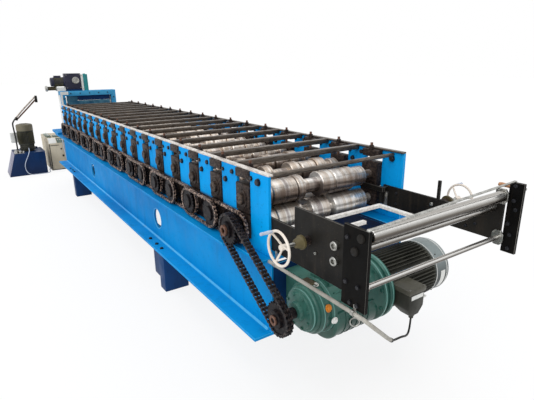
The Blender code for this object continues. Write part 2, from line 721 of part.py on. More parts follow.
def bearing_flange(name, x, z, bore, paint):
    """Plate on the inside of the far table plate with a bore for a journal, or none for a fixed rod."""
    half = FLANGE_PLATE_WIDTH / 2
    rise = FLANGE_PLATE_HEIGHT / 2
    outline = [(x - half, z - rise / 2), (x - half / 2, z - rise), (x + half / 2, z - rise), (x + half, z - rise / 2),
               (x + half, z + rise / 2), (x + half / 2, z + rise), (x - half / 2, z + rise),
               (x - half, z + rise / 2)]
    bm = bmesh.new()
    add_plate(bm, outline, FLANGE_FACE_Y, PLATE_INSIDE_Y - GAP)
    flange = finish(name, bm, paint)
    if bore:
        drilled(flange, (x, z), bore, FLANGE_FACE_Y - TABLE_PLATE, PLATE_INSIDE_Y + TABLE_PLATE)
    return flange


def flat_bar(paint):
    """Bar that lies on both uprights, higher at its far end."""
    near_x = FRONT_POST_X + FLAT_BAR_NEAR_DX
    far_x = FRONT_POST_X + FLAT_BAR_FAR_DX
    rise = (FAR_UPRIGHT_TOP_Z - NEAR_UPRIGHT_TOP_Z) / (2 * INNER_Y)
    bm = bmesh.new()
    rings = []
    for x, y, sole in ((near_x, -UPRIGHT_OUTER_Y, NEAR_UPRIGHT_TOP_Z), (near_x, -INNER_Y, NEAR_UPRIGHT_TOP_Z),
                       (far_x, INNER_Y, FAR_UPRIGHT_TOP_Z), (far_x, UPRIGHT_OUTER_Y, FAR_UPRIGHT_TOP_Z)):
        low = sole + GAP
        high = low + FLAT_BAR_THICK
        rings.append([bm.verts.new(place) for place in (
            (x - FLAT_BAR_WIDTH / 2, y, low), (x + FLAT_BAR_WIDTH / 2, y, low),
            (x + FLAT_BAR_WIDTH / 2, y, high), (x - FLAT_BAR_WIDTH / 2, y, high))])
    for first, second in zip(rings, rings[1:]):
        for corner in range(4):
            after = (corner + 1) % 4
            bm.faces.new((first[corner], first[after], second[after], second[corner]))
    bm.faces.new(rings[0])
    bm.faces.new(rings[-1])
    return finish("entry_flat_bar", bm, paint)


def guide_frame(paint):
    """Sheet guides of square bar on the near table plate: a long arm, its corner and a short arm."""
    inside = -PLATE_INSIDE_Y + GAP
    low = GUIDE_BAR_Z
    high = GUIDE_BAR_Z + GUIDE_BAR_DEPTH
    rear = FRONT_POST_X + GUIDE_REAR_DX
    front = FRONT_POST_X + GUIDE_FRONT_DX
    side_end = FRONT_POST_X + GUIDE_SIDE_END_DX
    wide = GUIDE_BAR_WIDTH
    outline = [
        (rear, inside), (front + wide, inside), (front + wide, GUIDE_FRONT_END_Y), (front, GUIDE_FRONT_END_Y),
        (front, inside + wide), (rear + wide, inside + wide), (rear + wide, GUIDE_REAR_END_Y - wide),
        (side_end, GUIDE_REAR_END_Y - wide), (side_end, GUIDE_REAR_END_Y), (rear, GUIDE_REAR_END_Y),
    ]
    bm = bmesh.new()
    face = bm.faces.new([bm.verts.new((x, y, low)) for x, y in outline])
    grown = bmesh.ops.extrude_face_region(bm, geom=[face])
    moved = [item for item in grown["geom"] if isinstance(item, bmesh.types.BMVert)]
    bmesh.ops.translate(bm, verts=moved, vec=(0.0, 0.0, high - low))
    return finish("sheet_guides", bm, paint)


def table_handle(paint):
    """Bent rod on the far upright with a round grip along the table."""
    x = FRONT_POST_X + HANDLE_DX + FAR_UPRIGHT_WIDTH / 2
    y = UPRIGHT_OUTER_Y + HANDLE_REACH
    bm = bmesh.new()
    add_turned(bm, [(UPRIGHT_OUTER_Y + GAP, HANDLE_ROD_RADIUS), (y + HANDLE_ROD_RADIUS, HANDLE_ROD_RADIUS)], 8,
               (x, 0.0, HANDLE_Z))
    handle = finish("table_handle", bm, paint, True)
    bm = bmesh.new()
    profile = [(-HANDLE_GRIP_END, HANDLE_GRIP_RADIUS), (-HANDLE_GRIP_START, HANDLE_GRIP_RADIUS),
               (-HANDLE_GRIP_START, HANDLE_ROD_RADIUS), (0.0, HANDLE_ROD_RADIUS)]
    add_turned(bm, profile, 8, (x, y, HANDLE_Z), "X")
    combine(handle, finish("grip", bm, paint), "UNION")
    return handle


def hand_wheel(name, side, x, z, paint):
    """Three-spoke wheel on a shaft along Y, its hub at the origin; outside is away from the machine."""
    reach = WHEEL_RADIUS - WHEEL_RIM_RADIUS
    rings = []
    bm = bmesh.new()
    for step in range(WHEEL_RIM_SIDES):
        angle = 2 * math.pi * step / WHEEL_RIM_SIDES
        ring = []
        for corner in range(WHEEL_TUBE_SIDES):
            turn = 2 * math.pi * corner / WHEEL_TUBE_SIDES
            radius = reach + WHEEL_RIM_RADIUS * math.cos(turn)
            ring.append(bm.verts.new((radius * math.cos(angle), WHEEL_RIM_RADIUS * math.sin(turn),
                                      radius * math.sin(angle))))
        rings.append(ring)
    for first, second in zip(rings, rings[1:] + rings[:1]):
        for corner in range(WHEEL_TUBE_SIDES):
            after = (corner + 1) % WHEEL_TUBE_SIDES
            bm.faces.new((first[corner], first[after], second[after], second[corner]))
    wheel = finish(name, bm, paint, True)
    half_hub = WHEEL_HUB_RADIUS
    inside = -side * (WHEEL_STAND_OFF - WHEEL_HUB_RADIUS)
    profile = sorted([(side * half_hub, WHEEL_HUB_RADIUS), (-side * half_hub, WHEEL_HUB_RADIUS),
                      (-side * (half_hub + GAP), WHEEL_SHAFT_RADIUS), (inside, WHEEL_SHAFT_RADIUS)])
    bm = bmesh.new()
    add_turned(bm, profile, 12)
    combine(wheel, finish("hub", bm, paint), "UNION")
    bm = bmesh.new()
    start = WHEEL_HUB_RADIUS / 2
    for spoke in range(3):
        turn = Matrix.Rotation(math.radians(90 + 120 * spoke), 4, "Y")
        middle = Matrix.Translation(((reach + start) / 2, 0.0, 0.0))
        size = Matrix.Diagonal((reach - start, WHEEL_SPOKE_SIDE, WHEEL_SPOKE_SIDE, 1.0))
        bmesh.ops.create_cube(bm, size=1.0, matrix=turn @ middle @ size)
    combine(wheel, finish("spokes", bm, paint), "UNION")
    bm = bmesh.new()
    lean = math.radians(120)
    grip = sorted([(0.0, 0.006), (side * 0.012, 0.0075), (side * WHEEL_GRIP_LENGTH, 0.009)])
    add_turned(bm, grip, 10, (reach * math.cos(lean), 0.0, reach * math.sin(lean)))
    combine(wheel, finish("grip", bm, paint), "UNION")
    wheel.location = (x, side * (FACE_Y + WHEEL_STAND_OFF), z)
    return wheel


def wheel_bracket(name, side, x, z, carrier_y, paint):
    """Boss on the table plate that the wheel's shaft turns in."""
    bm = bmesh.new()
    start = side * (carrier_y + GAP)
    end = side * (carrier_y + WHEEL_BOSS_LENGTH)
    profile = sorted([(start, 0.045), (side * (carrier_y + 0.02), 0.045),
                      (side * (carrier_y + 0.0201), WHEEL_BOSS_RADIUS), (end, WHEEL_BOSS_RADIUS - 0.006)])
    add_turned(bm, profile, 16, (x, 0.0, z))
    boss = finish(name, bm, paint, True)
    low, high = sorted((side * (carrier_y + 0.012), side * (carrier_y + WHEEL_BOSS_LENGTH + 0.02)))
    drilled(boss, (x, z), WHEEL_SHAFT_RADIUS + JOURNAL_CLEAR, low, high)
    return boss


def cutter(paint, steel, dark):
    """Portal on a bed behind the last stand, with a fixed lower die and a blade that drops."""
    rear_post = post_x(STAND_COUNT)
    bed_front = rear_post - POST_WIDTH / 2 - GAP
    bed_rear = bed_front - CUTTER_BED_LENGTH
    bed_low = BEAM_TOP_Z + GAP
    bed_top = bed_low + CUTTER_BED_THICK
    reach = WEB_Y + BEAM_FLANGE_WIDTH / 2
    bm = bmesh.new()
    add_box(bm, (bed_rear, -reach, bed_low), (bed_front, reach, bed_top))
    finish("cutter_bed", bm, paint)
    face_x = rear_post - CUTTER_SETBACK
    back_x = face_x - CUTTER_DEPTH
    leg_low = bed_top + GAP
    outline = [
        (CUTTER_NEAR_Y, leg_low), (CUTTER_NEAR_Y + CUTTER_LEG, leg_low),
        (CUTTER_NEAR_Y + CUTTER_LEG, CUTTER_TOP_Z - CUTTER_BEAM_HEIGHT),
        (CUTTER_FAR_Y - CUTTER_LEG, CUTTER_TOP_Z - CUTTER_BEAM_HEIGHT),
        (CUTTER_FAR_Y - CUTTER_LEG, leg_low), (CUTTER_FAR_Y, leg_low),
        (CUTTER_FAR_Y, CUTTER_TOP_Z), (CUTTER_NEAR_Y, CUTTER_TOP_Z),
    ]
    bm = bmesh.new()
    add_bar(bm, outline, back_x, face_x)
    finish("cutter_frame", bm, paint)
    middle = (face_x + back_x) / 2
    low_y = CUTTER_NEAR_Y + CUTTER_LEG + GAP
    high_y = CUTTER_FAR_Y - CUTTER_LEG - GAP
    bm = bmesh.new()
    add_box(bm, (middle - BLADE_THICK, low_y, bed_top + GAP), (middle + BLADE_THICK, high_y, LOWER_DIE_TOP_Z))
    finish("lower_die", bm, dark)
    bm = bmesh.new()
    shoe_low = low_y + BLADE_SHOE_CLEAR
    shoe_high = high_y - BLADE_SHOE_CLEAR
    low_y = low_y + BLADE_END_CLEAR
    high_y = high_y - BLADE_END_CLEAR
    shoe_z = BLADE_HEIGHT - BLADE_SHOE_HEIGHT
    edge = [(low_y, BLADE_VEE), ((low_y + high_y) / 2, 0.0), (high_y, BLADE_VEE), (high_y, shoe_z),
            (shoe_high, shoe_z), (shoe_high, BLADE_HEIGHT), (shoe_low, BLADE_HEIGHT),
            (shoe_low, shoe_z), (low_y, shoe_z)]
    add_bar(bm, edge, -BLADE_THICK / 2, BLADE_THICK / 2)
    finish("cutter_blade", bm, steel, False, (middle, 0.0, BLADE_PARK_Z))
    press_unit(middle, dark)


def press_unit(middle, dark):
    """Hydraulic block, small tank, motor and pressure cylinder on top of the portal."""
    low = CUTTER_TOP_Z + GAP
    half = PRESS_UNIT_DEPTH / 2
    bm = bmesh.new()
    outline = [(PRESS_SADDLE_NEAR_Y, low), (PRESS_TANK_FAR_Y, low), (PRESS_TANK_FAR_Y, low + PRESS_TANK_HEIGHT),
               (PRESS_BLOCK_FAR_Y, low + PRESS_TANK_HEIGHT), (PRESS_BLOCK_FAR_Y, low + PRESS_BLOCK_HEIGHT),
               (PRESS_BLOCK_NEAR_Y, low + PRESS_BLOCK_HEIGHT), (PRESS_BLOCK_NEAR_Y, low + PRESS_CYLINDER_RADIUS),
               (PRESS_SADDLE_NEAR_Y, low + PRESS_CYLINDER_RADIUS)]
    add_bar(bm, outline, middle - half, middle + half)
    unit = finish("cutter_motor", bm, dark, True)
    for near_y, far_y, radius, rise in (
            (PRESS_MOTOR_NEAR_Y, PRESS_BLOCK_NEAR_Y, PRESS_MOTOR_RADIUS, PRESS_MOTOR_RISE),
            (PRESS_CYLINDER_NEAR_Y, PRESS_SADDLE_NEAR_Y, PRESS_CYLINDER_RADIUS, PRESS_CYLINDER_RISE)):
        bm = bmesh.new()
        profile = [(near_y, radius), (far_y + PRESS_BARREL_SEAT, radius)]
        add_turned(bm, profile, 14, (middle, 0.0, low + rise))
        combine(unit, finish("barrel", bm, dark), "UNION")
    return unit


def hydraulic_station(paint, dark, steel, cable):
    """Oil tank with one flared side, a vertical pump motor and two pipes that rise from the lid."""
    outline = [(TANK_NEAR_Y - TANK_FLARE, 0.0), (TANK_FAR_Y, 0.0), (TANK_FAR_Y, TANK_HEIGHT),
               (TANK_NEAR_Y, TANK_HEIGHT)]
    bm = bmesh.new()
    add_bar(bm, outline, TANK_FRONT_X - TANK_LENGTH, TANK_FRONT_X)
    finish("hydraulic_tank", bm, paint)
    motor_x = TANK_FRONT_X - TANK_LENGTH / 2
    motor_y = (TANK_NEAR_Y + TANK_FAR_Y) / 2
    lid = TANK_HEIGHT + GAP
    bm = bmesh.new()
    profile = [(0.0, PUMP_FOOT_RADIUS), (PUMP_FOOT_HEIGHT, PUMP_FOOT_RADIUS),
               (PUMP_FOOT_HEIGHT + GAP, PUMP_MOTOR_RADIUS), (PUMP_MOTOR_HEIGHT, PUMP_MOTOR_RADIUS)]
    add_turned(bm, profile, PUMP_MOTOR_SIDES, (motor_x, motor_y, lid), "Z")
    finish("pump_motor", bm, dark, True)

    foot_y = motor_y - PUMP_MOTOR_RADIUS - 2 * PIPE_RADIUS
    shares = [(0.0, 0.0), (0.0, 0.29), (-0.01, 0.50), (0.06, 0.625), (0.23, 0.80), (0.44, 1.0)]
    route = [(foot_y + along * PIPE_HEIGHT, lid + up * PIPE_HEIGHT) for along, up in shares]
    bm = bmesh.new()
    add_tube(bm, [(motor_x, y, z) for y, z in route], PIPE_RADIUS, 8)
    pipes = finish("pressure_pipes", bm, steel, True)
    bm = bmesh.new()
    add_tube(bm, [(motor_x - PIPE_STEP, y + PIPE_STEP / 2, z - PIPE_STEP / 2) for y, z in route[3:]], PIPE_RADIUS, 8)
    combine(pipes, finish("second_pipe", bm, steel), "UNION")
    bm = bmesh.new()
    for y, z in (route[3], route[5]):
        add_box(bm, (motor_x - PIPE_STEP - PIPE_RADIUS, y - PIPE_RADIUS, z - 2 * PIPE_STEP),
                (motor_x + PIPE_RADIUS, y + PIPE_RADIUS + PIPE_STEP / 2, z + PIPE_RADIUS))
    combine(pipes, finish("clamps", bm, steel), "UNION")

    face_x = TANK_FRONT_X + STATION_CABLE_RADIUS + GAP
    floor_z = STATION_CABLE_RADIUS + GAP
    over = TANK_HEIGHT + STATION_CABLE_RADIUS + GAP
    end_x = CABINET_FRONT_X - CABINET_SLOPE / 2
    flat_x = motor_x + PUMP_MOTOR_RADIUS * math.cos(math.pi / PUMP_MOTOR_SIDES)
    held_cable("pump_cable", [
        (flat_x + GAP, motor_y, over + 0.06), (flat_x + 5 * STATION_CABLE_RADIUS, motor_y, over + 0.06),
        (TANK_FRONT_X - 0.06, motor_y, over + 0.05),
        (TANK_FRONT_X + 0.004, motor_y - 0.01, over + 0.014), (face_x + 0.007, motor_y - 0.05, over - 0.08),
        (face_x + 0.004, motor_y - 0.12, over - 0.22), (face_x + 0.004, motor_y - 0.12, over - 0.34),
        (face_x + 0.012, motor_y - 0.05, floor_z + 0.01), (face_x + 0.02, motor_y + 0.10, floor_z),
        (face_x + 0.008, TANK_FAR_Y + 0.01, floor_z), (face_x - 0.11, TANK_FAR_Y + 0.055, floor_z),
        (end_x, CABINET_NEAR_Y - 0.035, floor_z + 0.02), (end_x, CABINET_NEAR_Y - GAP, floor_z + 0.02),
    ], STATION_CABLE_RADIUS, cable)


def control_cabinet(paint, cable):
    """Console with a sloped desk at its front and a lead that hangs down before it."""
    slope_x = CABINET_FRONT_X - CABINET_SLOPE
    shoulder = CABINET_HEIGHT - CABINET_SLOPE_DROP
    outline = [(CABINET_FRONT_X - CABINET_LENGTH, 0.0), (CABINET_FRONT_X, 0.0), (CABINET_FRONT_X, shoulder),
               (slope_x, CABINET_HEIGHT), (CABINET_FRONT_X - CABINET_LENGTH, CABINET_HEIGHT)]
    bm = bmesh.new()
    add_plate(bm, outline, CABINET_NEAR_Y, CABINET_FAR_Y)
    finish("control_cabinet", bm, paint)
    radius = STATION_CABLE_RADIUS
    clear_x = CABINET_FRONT_X + radius + GAP
    held_cable("desk_cable", [
        (slope_x - radius, CABINET_FAR_Y - 0.05, CABINET_HEIGHT + GAP),
        (slope_x - radius, CABINET_FAR_Y - 0.05, CABINET_HEIGHT + 0.04),
        (slope_x + 0.05, CABINET_FAR_Y - 0.07, CABINET_HEIGHT + 0.055),
        (CABINET_FRONT_X - 0.02, CABINET_FAR_Y - 0.10, CABINET_HEIGHT - 0.01),
        (clear_x + 0.01, CABINET_FAR_Y - 0.11, shoulder - 0.05),
        (clear_x + 0.004, CABINET_FAR_Y - 0.09, shoulder - 0.25),
        (clear_x + 0.012, CABINET_FAR_Y - 0.08, shoulder - 0.36),
        (clear_x + 0.02, CABINET_FAR_Y - 0.045, shoulder - 0.425),
        (CABINET_FRONT_X + 0.02, CABINET_FAR_Y - 0.03, shoulder - 0.42),
        (CABINET_FRONT_X + GAP, CABINET_FAR_Y - 0.03, shoulder - 0.42),
    ], radius, cable)


def drive(paint, motor_paint, steel):
    """Reducer on the front cross member, its motor beyond it and the chain wheel on its near end."""
    near = -FACE_Y + REDUCER_INSET
    flange_start = near + REDUCER_LENGTH
    axis = (DRIVE_AXIS_X, 0.0, DRIVE_AXIS_Z)
    bm = bmesh.new()
    profile = [(near - REDUCER_HUB_LENGTH, REDUCER_HUB_RADIUS), (near, REDUCER_HUB_RADIUS),
               (near, REDUCER_RADIUS - REDUCER_HUB_LENGTH), (near + 2 * REDUCER_HUB_LENGTH, REDUCER_RADIUS),
               (flange_start, REDUCER_RADIUS), (flange_start, FLANGE_RADIUS), (MOTOR_NEAR_Y, FLANGE_RADIUS)]
    add_turned(bm, profile, 24, axis)
    reducer = finish("reducer", bm, paint, True)
    bm = bmesh.new()
    pad_x = BEAM_FRONT_X - FRONT_CROSS_INSET + CROSS_THICK + GAP
    pad_y = near + FOOT_PAD_START
    add_box(bm, (pad_x, pad_y, DRIVE_AXIS_Z - FOOT_PAD_RISE),
            (DRIVE_AXIS_X - REDUCER_HUB_RADIUS, pad_y + FOOT_PAD_LENGTH, DRIVE_AXIS_Z + FOOT_PAD_RISE))
    combine(reducer, finish("pad", bm, paint), "UNION")
    bm = bmesh.new()
    profile = [(near + SUMP_START, SUMP_RADIUS), (near + SUMP_START + SUMP_LENGTH, SUMP_RADIUS)]
    add_turned(bm, profile, 20, (DRIVE_AXIS_X, 0.0, DRIVE_AXIS_Z - SUMP_DROP))
    combine(reducer, finish("sump", bm, paint), "UNION")

    bm = bmesh.new()
    start = MOTOR_NEAR_Y + GAP
    end = MOTOR_NEAR_Y + MOTOR_LENGTH
    cover = MOTOR_RADIUS - 0.008
    profile = [(start, MOTOR_RADIUS), (end, MOTOR_RADIUS), (end, cover), (end + 0.8 * FAN_COVER_LENGTH, cover),
               (end + FAN_COVER_LENGTH, cover - 0.03)]
    add_turned(bm, profile, 24, axis)
    motor = finish("drive_motor", bm, motor_paint, True)
    box_end_x = DRIVE_AXIS_X + TERMINAL_BOX_REACH
    box_y = start + TERMINAL_BOX_START
    bm = bmesh.new()
    add_box(bm, (DRIVE_AXIS_X + MOTOR_RADIUS / 2, box_y, TERMINAL_BOX_LOW_Z),
            (box_end_x, box_y + TERMINAL_BOX_LENGTH, TERMINAL_BOX_TOP_Z))
    combine(motor, finish("terminal_box", bm, motor_paint), "UNION")
    bm = bmesh.new()
    gland = (box_end_x - GLAND_INSET, box_y + TERMINAL_BOX_LENGTH / 2, 0.0)
    add_turned(bm, [(TERMINAL_BOX_LOW_Z - GLAND_DROP, GLAND_RADIUS), (TERMINAL_BOX_LOW_Z + GLAND_DROP, GLAND_RADIUS)],
               10, gland, "Z")
    combine(motor, finish("gland", bm, motor_paint), "UNION")

    bm = bmesh.new()
    half = DRIVE_CHAIN_WIDTH / 2 - SPROCKET_INSET
    profile = [(DRIVE_ROW_Y - DRIVE_CHAIN_WIDTH / 2 - SPROCKET_INSET, DRIVE_SHAFT_RADIUS),
               (DRIVE_ROW_Y - half, DRIVE_SHAFT_RADIUS), (DRIVE_ROW_Y - half, SPROCKET_RADIUS),
               (DRIVE_ROW_Y + half, SPROCKET_RADIUS), (DRIVE_ROW_Y + half, DRIVE_SHAFT_RADIUS),
               (near - REDUCER_HUB_LENGTH - GAP, DRIVE_SHAFT_RADIUS)]
    add_turned(bm, profile, 17, axis)
    finish("drive_sprocket", bm, steel, True)
    return gland


def motor_wiring(gland, grey, black):
    """Conduit from the beam's end past the near upright, and the cable from it up into the gland."""
    y = -UPRIGHT_OUTER_Y - CONDUIT_RADIUS - CONDUIT_STAND_OFF
    z = BEAM_TOP_Z - CONDUIT_DROP
    bend = Vector((TABLE_END_X + TABLE_FOOT_REACH, y, z))
    fall = [(0.034, 0.05, -0.068), (-0.027, 0.348, -0.328), (-0.132, 0.652, -0.60), (-0.236, 0.889, -0.811),
            (-0.345, 1.125, -1.0)]
    places = [(BEAM_FRONT_X + GAP, y, z), (FRONT_POST_X + WHEEL_DX, y, z), (TABLE_END_X, y, z)]
    places += [bend + Vector(share) * CONDUIT_FALL for share in fall]
    route = held_cable("motor_conduit", places, CONDUIT_RADIUS, grey)
    lead = (route[-1] - route[-2]).normalized()
    start = route[-1] + lead * GAP
    entry = Vector((gland[0], gland[1], TERMINAL_BOX_LOW_Z - GLAND_DROP - GAP))
    loop = [(0.52, -1.0, 0.07), (0.34, -0.59, -0.16), (0.114, -0.18, -0.295)]
    places = [start, start + lead * 5 * MOTOR_CABLE_RADIUS]
    places += [entry + Vector(share) * MOTOR_CABLE_LOOP for share in loop]
    places += [entry - Vector((0.0, 0.0, 5 * MOTOR_CABLE_RADIUS)), entry]
    held_cable("motor_cable", places, MOTOR_CABLE_RADIUS, black)


def loop_places(start, end, radius, count):
    """Even places round two wheels, each with the way outwards, in (x, z)."""
    along = (end - start).normalized()
    out = Vector((-along.y, along.x))
    straight = (end - start).length
    arc = math.pi * radius
    places = []
    for step in range(count):
        reach = 2 * (straight + arc) * step / count
        if reach < straight:
            places.append((start + along * reach + out * radius, out))
        elif reach < straight + arc:
            turn = (reach - straight) / radius
            way = out * math.cos(turn) + along * math.sin(turn)
            places.append((end + way * radius, way))
        elif reach < 2 * straight + arc:
            places.append((end - along * (reach - straight - arc) - out * radius, -out))
        else:
            turn = (reach - 2 * straight - arc) / radius
            way = -out * math.cos(turn) - along * math.sin(turn)
            places.append((start + way * radius, way))
    return places


def drive_chain(steel):
    """Loop from the first lower shaft to the reducer's wheel, waisted between its pins."""
    start = Vector((stand_x(0), LOWER_SHAFT_Z))
    end = Vector((DRIVE_AXIS_X, DRIVE_AXIS_Z))
    half = CHAIN_HEIGHT / 2
    spacing = CHAIN_HEIGHT / 2 / SPROCKET_RADIUS
    radius = (SPROCKET_RADIUS + CHAIN_CLEAR) / math.cos(spacing / 2) + half
    outer = []
    inner = []
    for step, (place, out) in enumerate(loop_places(start, end, radius, 2 * DRIVE_CHAIN_LINKS)):
        reach = half if step % 2 == 0 else half * DRIVE_CHAIN_WAIST
        outer.append(place + out * reach)
        inner.append(place - out * reach)
    bm = bmesh.new()
    width = DRIVE_CHAIN_WIDTH / 2
    add_loop_band(bm, [tuple(p) for p in outer], [tuple(p) for p in inner], DRIVE_ROW_Y - width, DRIVE_ROW_Y + width)
    finish("drive_chain", bm, steel)


def entry_table(dark, chrome, zinc, olive, ivory, brown):
    """Table plates and uprights, the rollers and rods between them, guides, handle and hand wheels."""
    plates = [near_table_plate(dark), far_table_plate(dark)]
    plates.append(upright("near_upright", -1, NEAR_UPRIGHT_START, NEAR_UPRIGHT_WIDTH, NEAR_UPRIGHT_SOLE_Z,
                          NEAR_UPRIGHT_TOP_Z, dark))
    upright("far_upright", 1, FAR_UPRIGHT_START, FAR_UPRIGHT_WIDTH, FAR_UPRIGHT_SOLE_Z, FAR_UPRIGHT_TOP_Z, dark)
    bore = JOURNAL_RADIUS + JOURNAL_CLEAR
    for plate in plates:
        side = -1 if plate.name.startswith("near") else 1
        low, high = sorted((side * (PLATE_INSIDE_Y - TABLE_FOOT_REACH), side * (INNER_Y + TABLE_FOOT_REACH)))
        drilled(plate, (TOP_ROLLER_X, TOP_ROLLER_Z), bore, low, high)
        drilled(plate, (LOWER_ROLLER_X, LOWER_ROLLER_Z), bore, low, high)
    entry_roller("entry_top_roller", TOP_ROLLER_X, TOP_ROLLER_Z, TOP_ROLLER_RADIUS, chrome)
    entry_roller("entry_lower_roller", LOWER_ROLLER_X, LOWER_ROLLER_Z, LOWER_ROLLER_RADIUS, chrome)
    bearing_flange("roller_flange", TOP_ROLLER_X, TOP_ROLLER_Z, bore, zinc)
    bearing_flange("rod_flange", GUIDE_ROD_X, GUIDE_ROD_Z, None, zinc)
    rod_between("guide_rod", GUIDE_ROD_X, GUIDE_ROD_Z, GUIDE_ROD_RADIUS, -PLATE_INSIDE_Y + GAP,
                FLANGE_FACE_Y - GAP, chrome)
    flat_bar(dark)
    guide_frame(zinc)
    table_handle(brown)
    for side, word in ((-1, "near"), (1, "far")):
        wheel_bracket(f"{word}_wheel_bracket", side, WHEEL_X, WHEEL_Z, INNER_Y - GAP, olive)
        hand_wheel(f"{word}_handwheel", side, WHEEL_X, WHEEL_Z, ivory)


def build():
    clear_scene()
    blue = make_material("machine_blue", (0.010, 0.30, 0.83), 0.35, 0.0)
    navy = make_material("shaded_navy", (0.012, 0.07, 0.30), 0.5, 0.0)
    steel = make_material("forming_steel", (0.55, 0.55, 0.56), 0.28, 1.0)
    dark = make_material("black_steel", (0.02, 0.02, 0.018), 0.45, 0.0)
    chrome = make_material("chrome", (0.75, 0.75, 0.76), 0.12, 1.0)
    zinc = make_material("zinc_plate", (0.50, 0.50, 0.48), 0.4, 1.0)
    green = make_material("reducer_green", (0.012, 0.08, 0.06), 0.35, 0.0)
    olive = make_material("motor_grey", (0.045, 0.048, 0.038), 0.5, 0.0)
    cream = make_material("cabinet_cream", (0.50, 0.45, 0.34), 0.5, 0.0)
    ivory = make_material("wheel_ivory", (0.72, 0.68, 0.60), 0.35, 0.0)
    grey = make_material("conduit_grey", (0.40, 0.40, 0.38), 0.5, 0.0)
    black = make_material("cable_black", (0.02, 0.02, 0.02), 0.6, 0.0)
    brown = make_material("brown_grip", (0.45, 0.26, 0.14), 0.5, 0.0)

    notch_for_chain(beam("near_beam", -1, blue))
    beam("far_beam", 1, blue)
    cross_member("front_crossmember", BEAM_FRONT_X - FRONT_CROSS_INSET, blue)
    cross_member("rear_crossmember", BEAM_REAR_X + REAR_CROSS_INSET, blue)
    sleeper("front_sleeper", 0.0, navy)
    sleeper("rear_sleeper", REAR_SLEEPER_X, navy)
    side_frame("near_side_frame", -1, blue)
    side_frame("far_side_frame", 1, blue)
    top_ties("top_tie_bars", dark)
    rod_between("front_tie_rod", post_x(0), POST_TOP_Z - TIE_ROD_DROP, TIE_ROD_RADIUS,
                -INNER_Y + GAP, INNER_Y - GAP, chrome)
    for index in range(STAND_COUNT):
        name = f"forming_stand_{index + 1:02d}"
        chain_row = None if index == STAND_COUNT - 1 else index % 2
        if index == 0:
            forming_stand(name, index, steel, FIRST_UPPER, FIRST_LOWER, chain_row, True)
        else:
            forming_stand(name, index, steel, UPPER_RINGS, LOWER_RINGS, chain_row)

    gland = drive(green, olive, dark)
    drive_chain(dark)
    motor_wiring(gland, grey, black)
    entry_table(dark, chrome, zinc, olive, ivory, brown)
    cutter(blue, steel, dark)
    hydraulic_station(navy, olive, zinc, grey)
    control_cabinet(cream, grey)


build()
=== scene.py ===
"""Looks of the roll forming line: paint, steel, rolls, chains, drive, table, cutter and station."""
import json
import math

import bmesh
import bpy
from mathutils import Matrix, Vector

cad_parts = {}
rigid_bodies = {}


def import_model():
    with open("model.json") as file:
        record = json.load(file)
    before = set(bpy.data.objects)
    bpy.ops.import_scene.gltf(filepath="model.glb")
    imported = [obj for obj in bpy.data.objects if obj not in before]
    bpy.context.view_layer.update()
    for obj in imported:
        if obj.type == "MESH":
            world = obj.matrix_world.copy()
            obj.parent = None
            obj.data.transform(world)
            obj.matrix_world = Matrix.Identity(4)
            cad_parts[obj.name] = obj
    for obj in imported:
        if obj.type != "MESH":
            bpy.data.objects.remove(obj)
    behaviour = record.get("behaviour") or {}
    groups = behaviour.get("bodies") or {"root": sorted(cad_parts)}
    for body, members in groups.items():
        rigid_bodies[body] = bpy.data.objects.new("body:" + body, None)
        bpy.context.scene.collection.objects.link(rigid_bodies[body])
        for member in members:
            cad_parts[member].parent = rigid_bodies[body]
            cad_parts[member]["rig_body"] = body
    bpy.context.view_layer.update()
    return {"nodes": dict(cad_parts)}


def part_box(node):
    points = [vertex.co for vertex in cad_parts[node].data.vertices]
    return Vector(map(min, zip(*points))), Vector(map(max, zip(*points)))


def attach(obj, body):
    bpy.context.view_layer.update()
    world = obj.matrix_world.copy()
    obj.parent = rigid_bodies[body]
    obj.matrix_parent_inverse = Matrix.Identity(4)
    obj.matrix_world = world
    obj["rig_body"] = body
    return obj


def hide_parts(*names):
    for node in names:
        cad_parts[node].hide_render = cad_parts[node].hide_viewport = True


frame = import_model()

SOFTENED_ANGLE = 28.0
MERGED_BELOW = 0.00002

UP = (0.0, 0.0, 1.0)
TO_FRONT = (1.0, 0.0, 0.0)
TO_NEAR = (0.0, -1.0, 0.0)

# Photograph's view
CAMERA_PLACE = (3.888, -1.943, 2.0)
CAMERA_YAW = 33.64
CAMERA_PITCH = 16.91
CAMERA_ROLL = -0.67
CAMERA_LENS = 29.754
SENSOR_WIDTH = 36.0

# Stands
PITCH = 0.36
STANDS = 17
FRONT_POST_X = 1.77
FIRST_STAND_X = FRONT_POST_X - PITCH / 2
FACE_Y = 0.59
INNER_Y = 0.57
SLOT_FLOOR_Z = 0.955
LIFT_HOLES_X = (-0.06, -2.62)
SLEEPERS_X = (0.0, -3.85)
LOWER_Z = 1.02
UPPER_Z = 1.205
SHAFT_RADIUS = 0.034
ROLL_SIDES = 44
# Reach of the painted highlight and painted shade on the rolls, about each shaft's height
ROLL_SHADING_REACH = 0.1
BLOCK_HALF = 0.0795
SCREW_Y = 0.536

# Chains
TEETH = 24
CHAIN_RADIUS = 0.0963
LINK_HEIGHT = 0.021
TRANSFER_LINKS = 52
DRIVE_LINKS = 74
FIRST_ROW_Y = -0.631
SECOND_ROW_Y = -0.659
DRIVE_ROW_Y = -0.701
DRIVE_ROW_STEP = 0.024
SPROCKET_HALF = 0.0038
TURN_STEPS = 16

# Drive
DRIVE_X = 2.13
DRIVE_Z = 0.66
SUMP_DROP = 0.065
MOTOR_START_Y = 0.0103
MOTOR_END_Y = 0.46

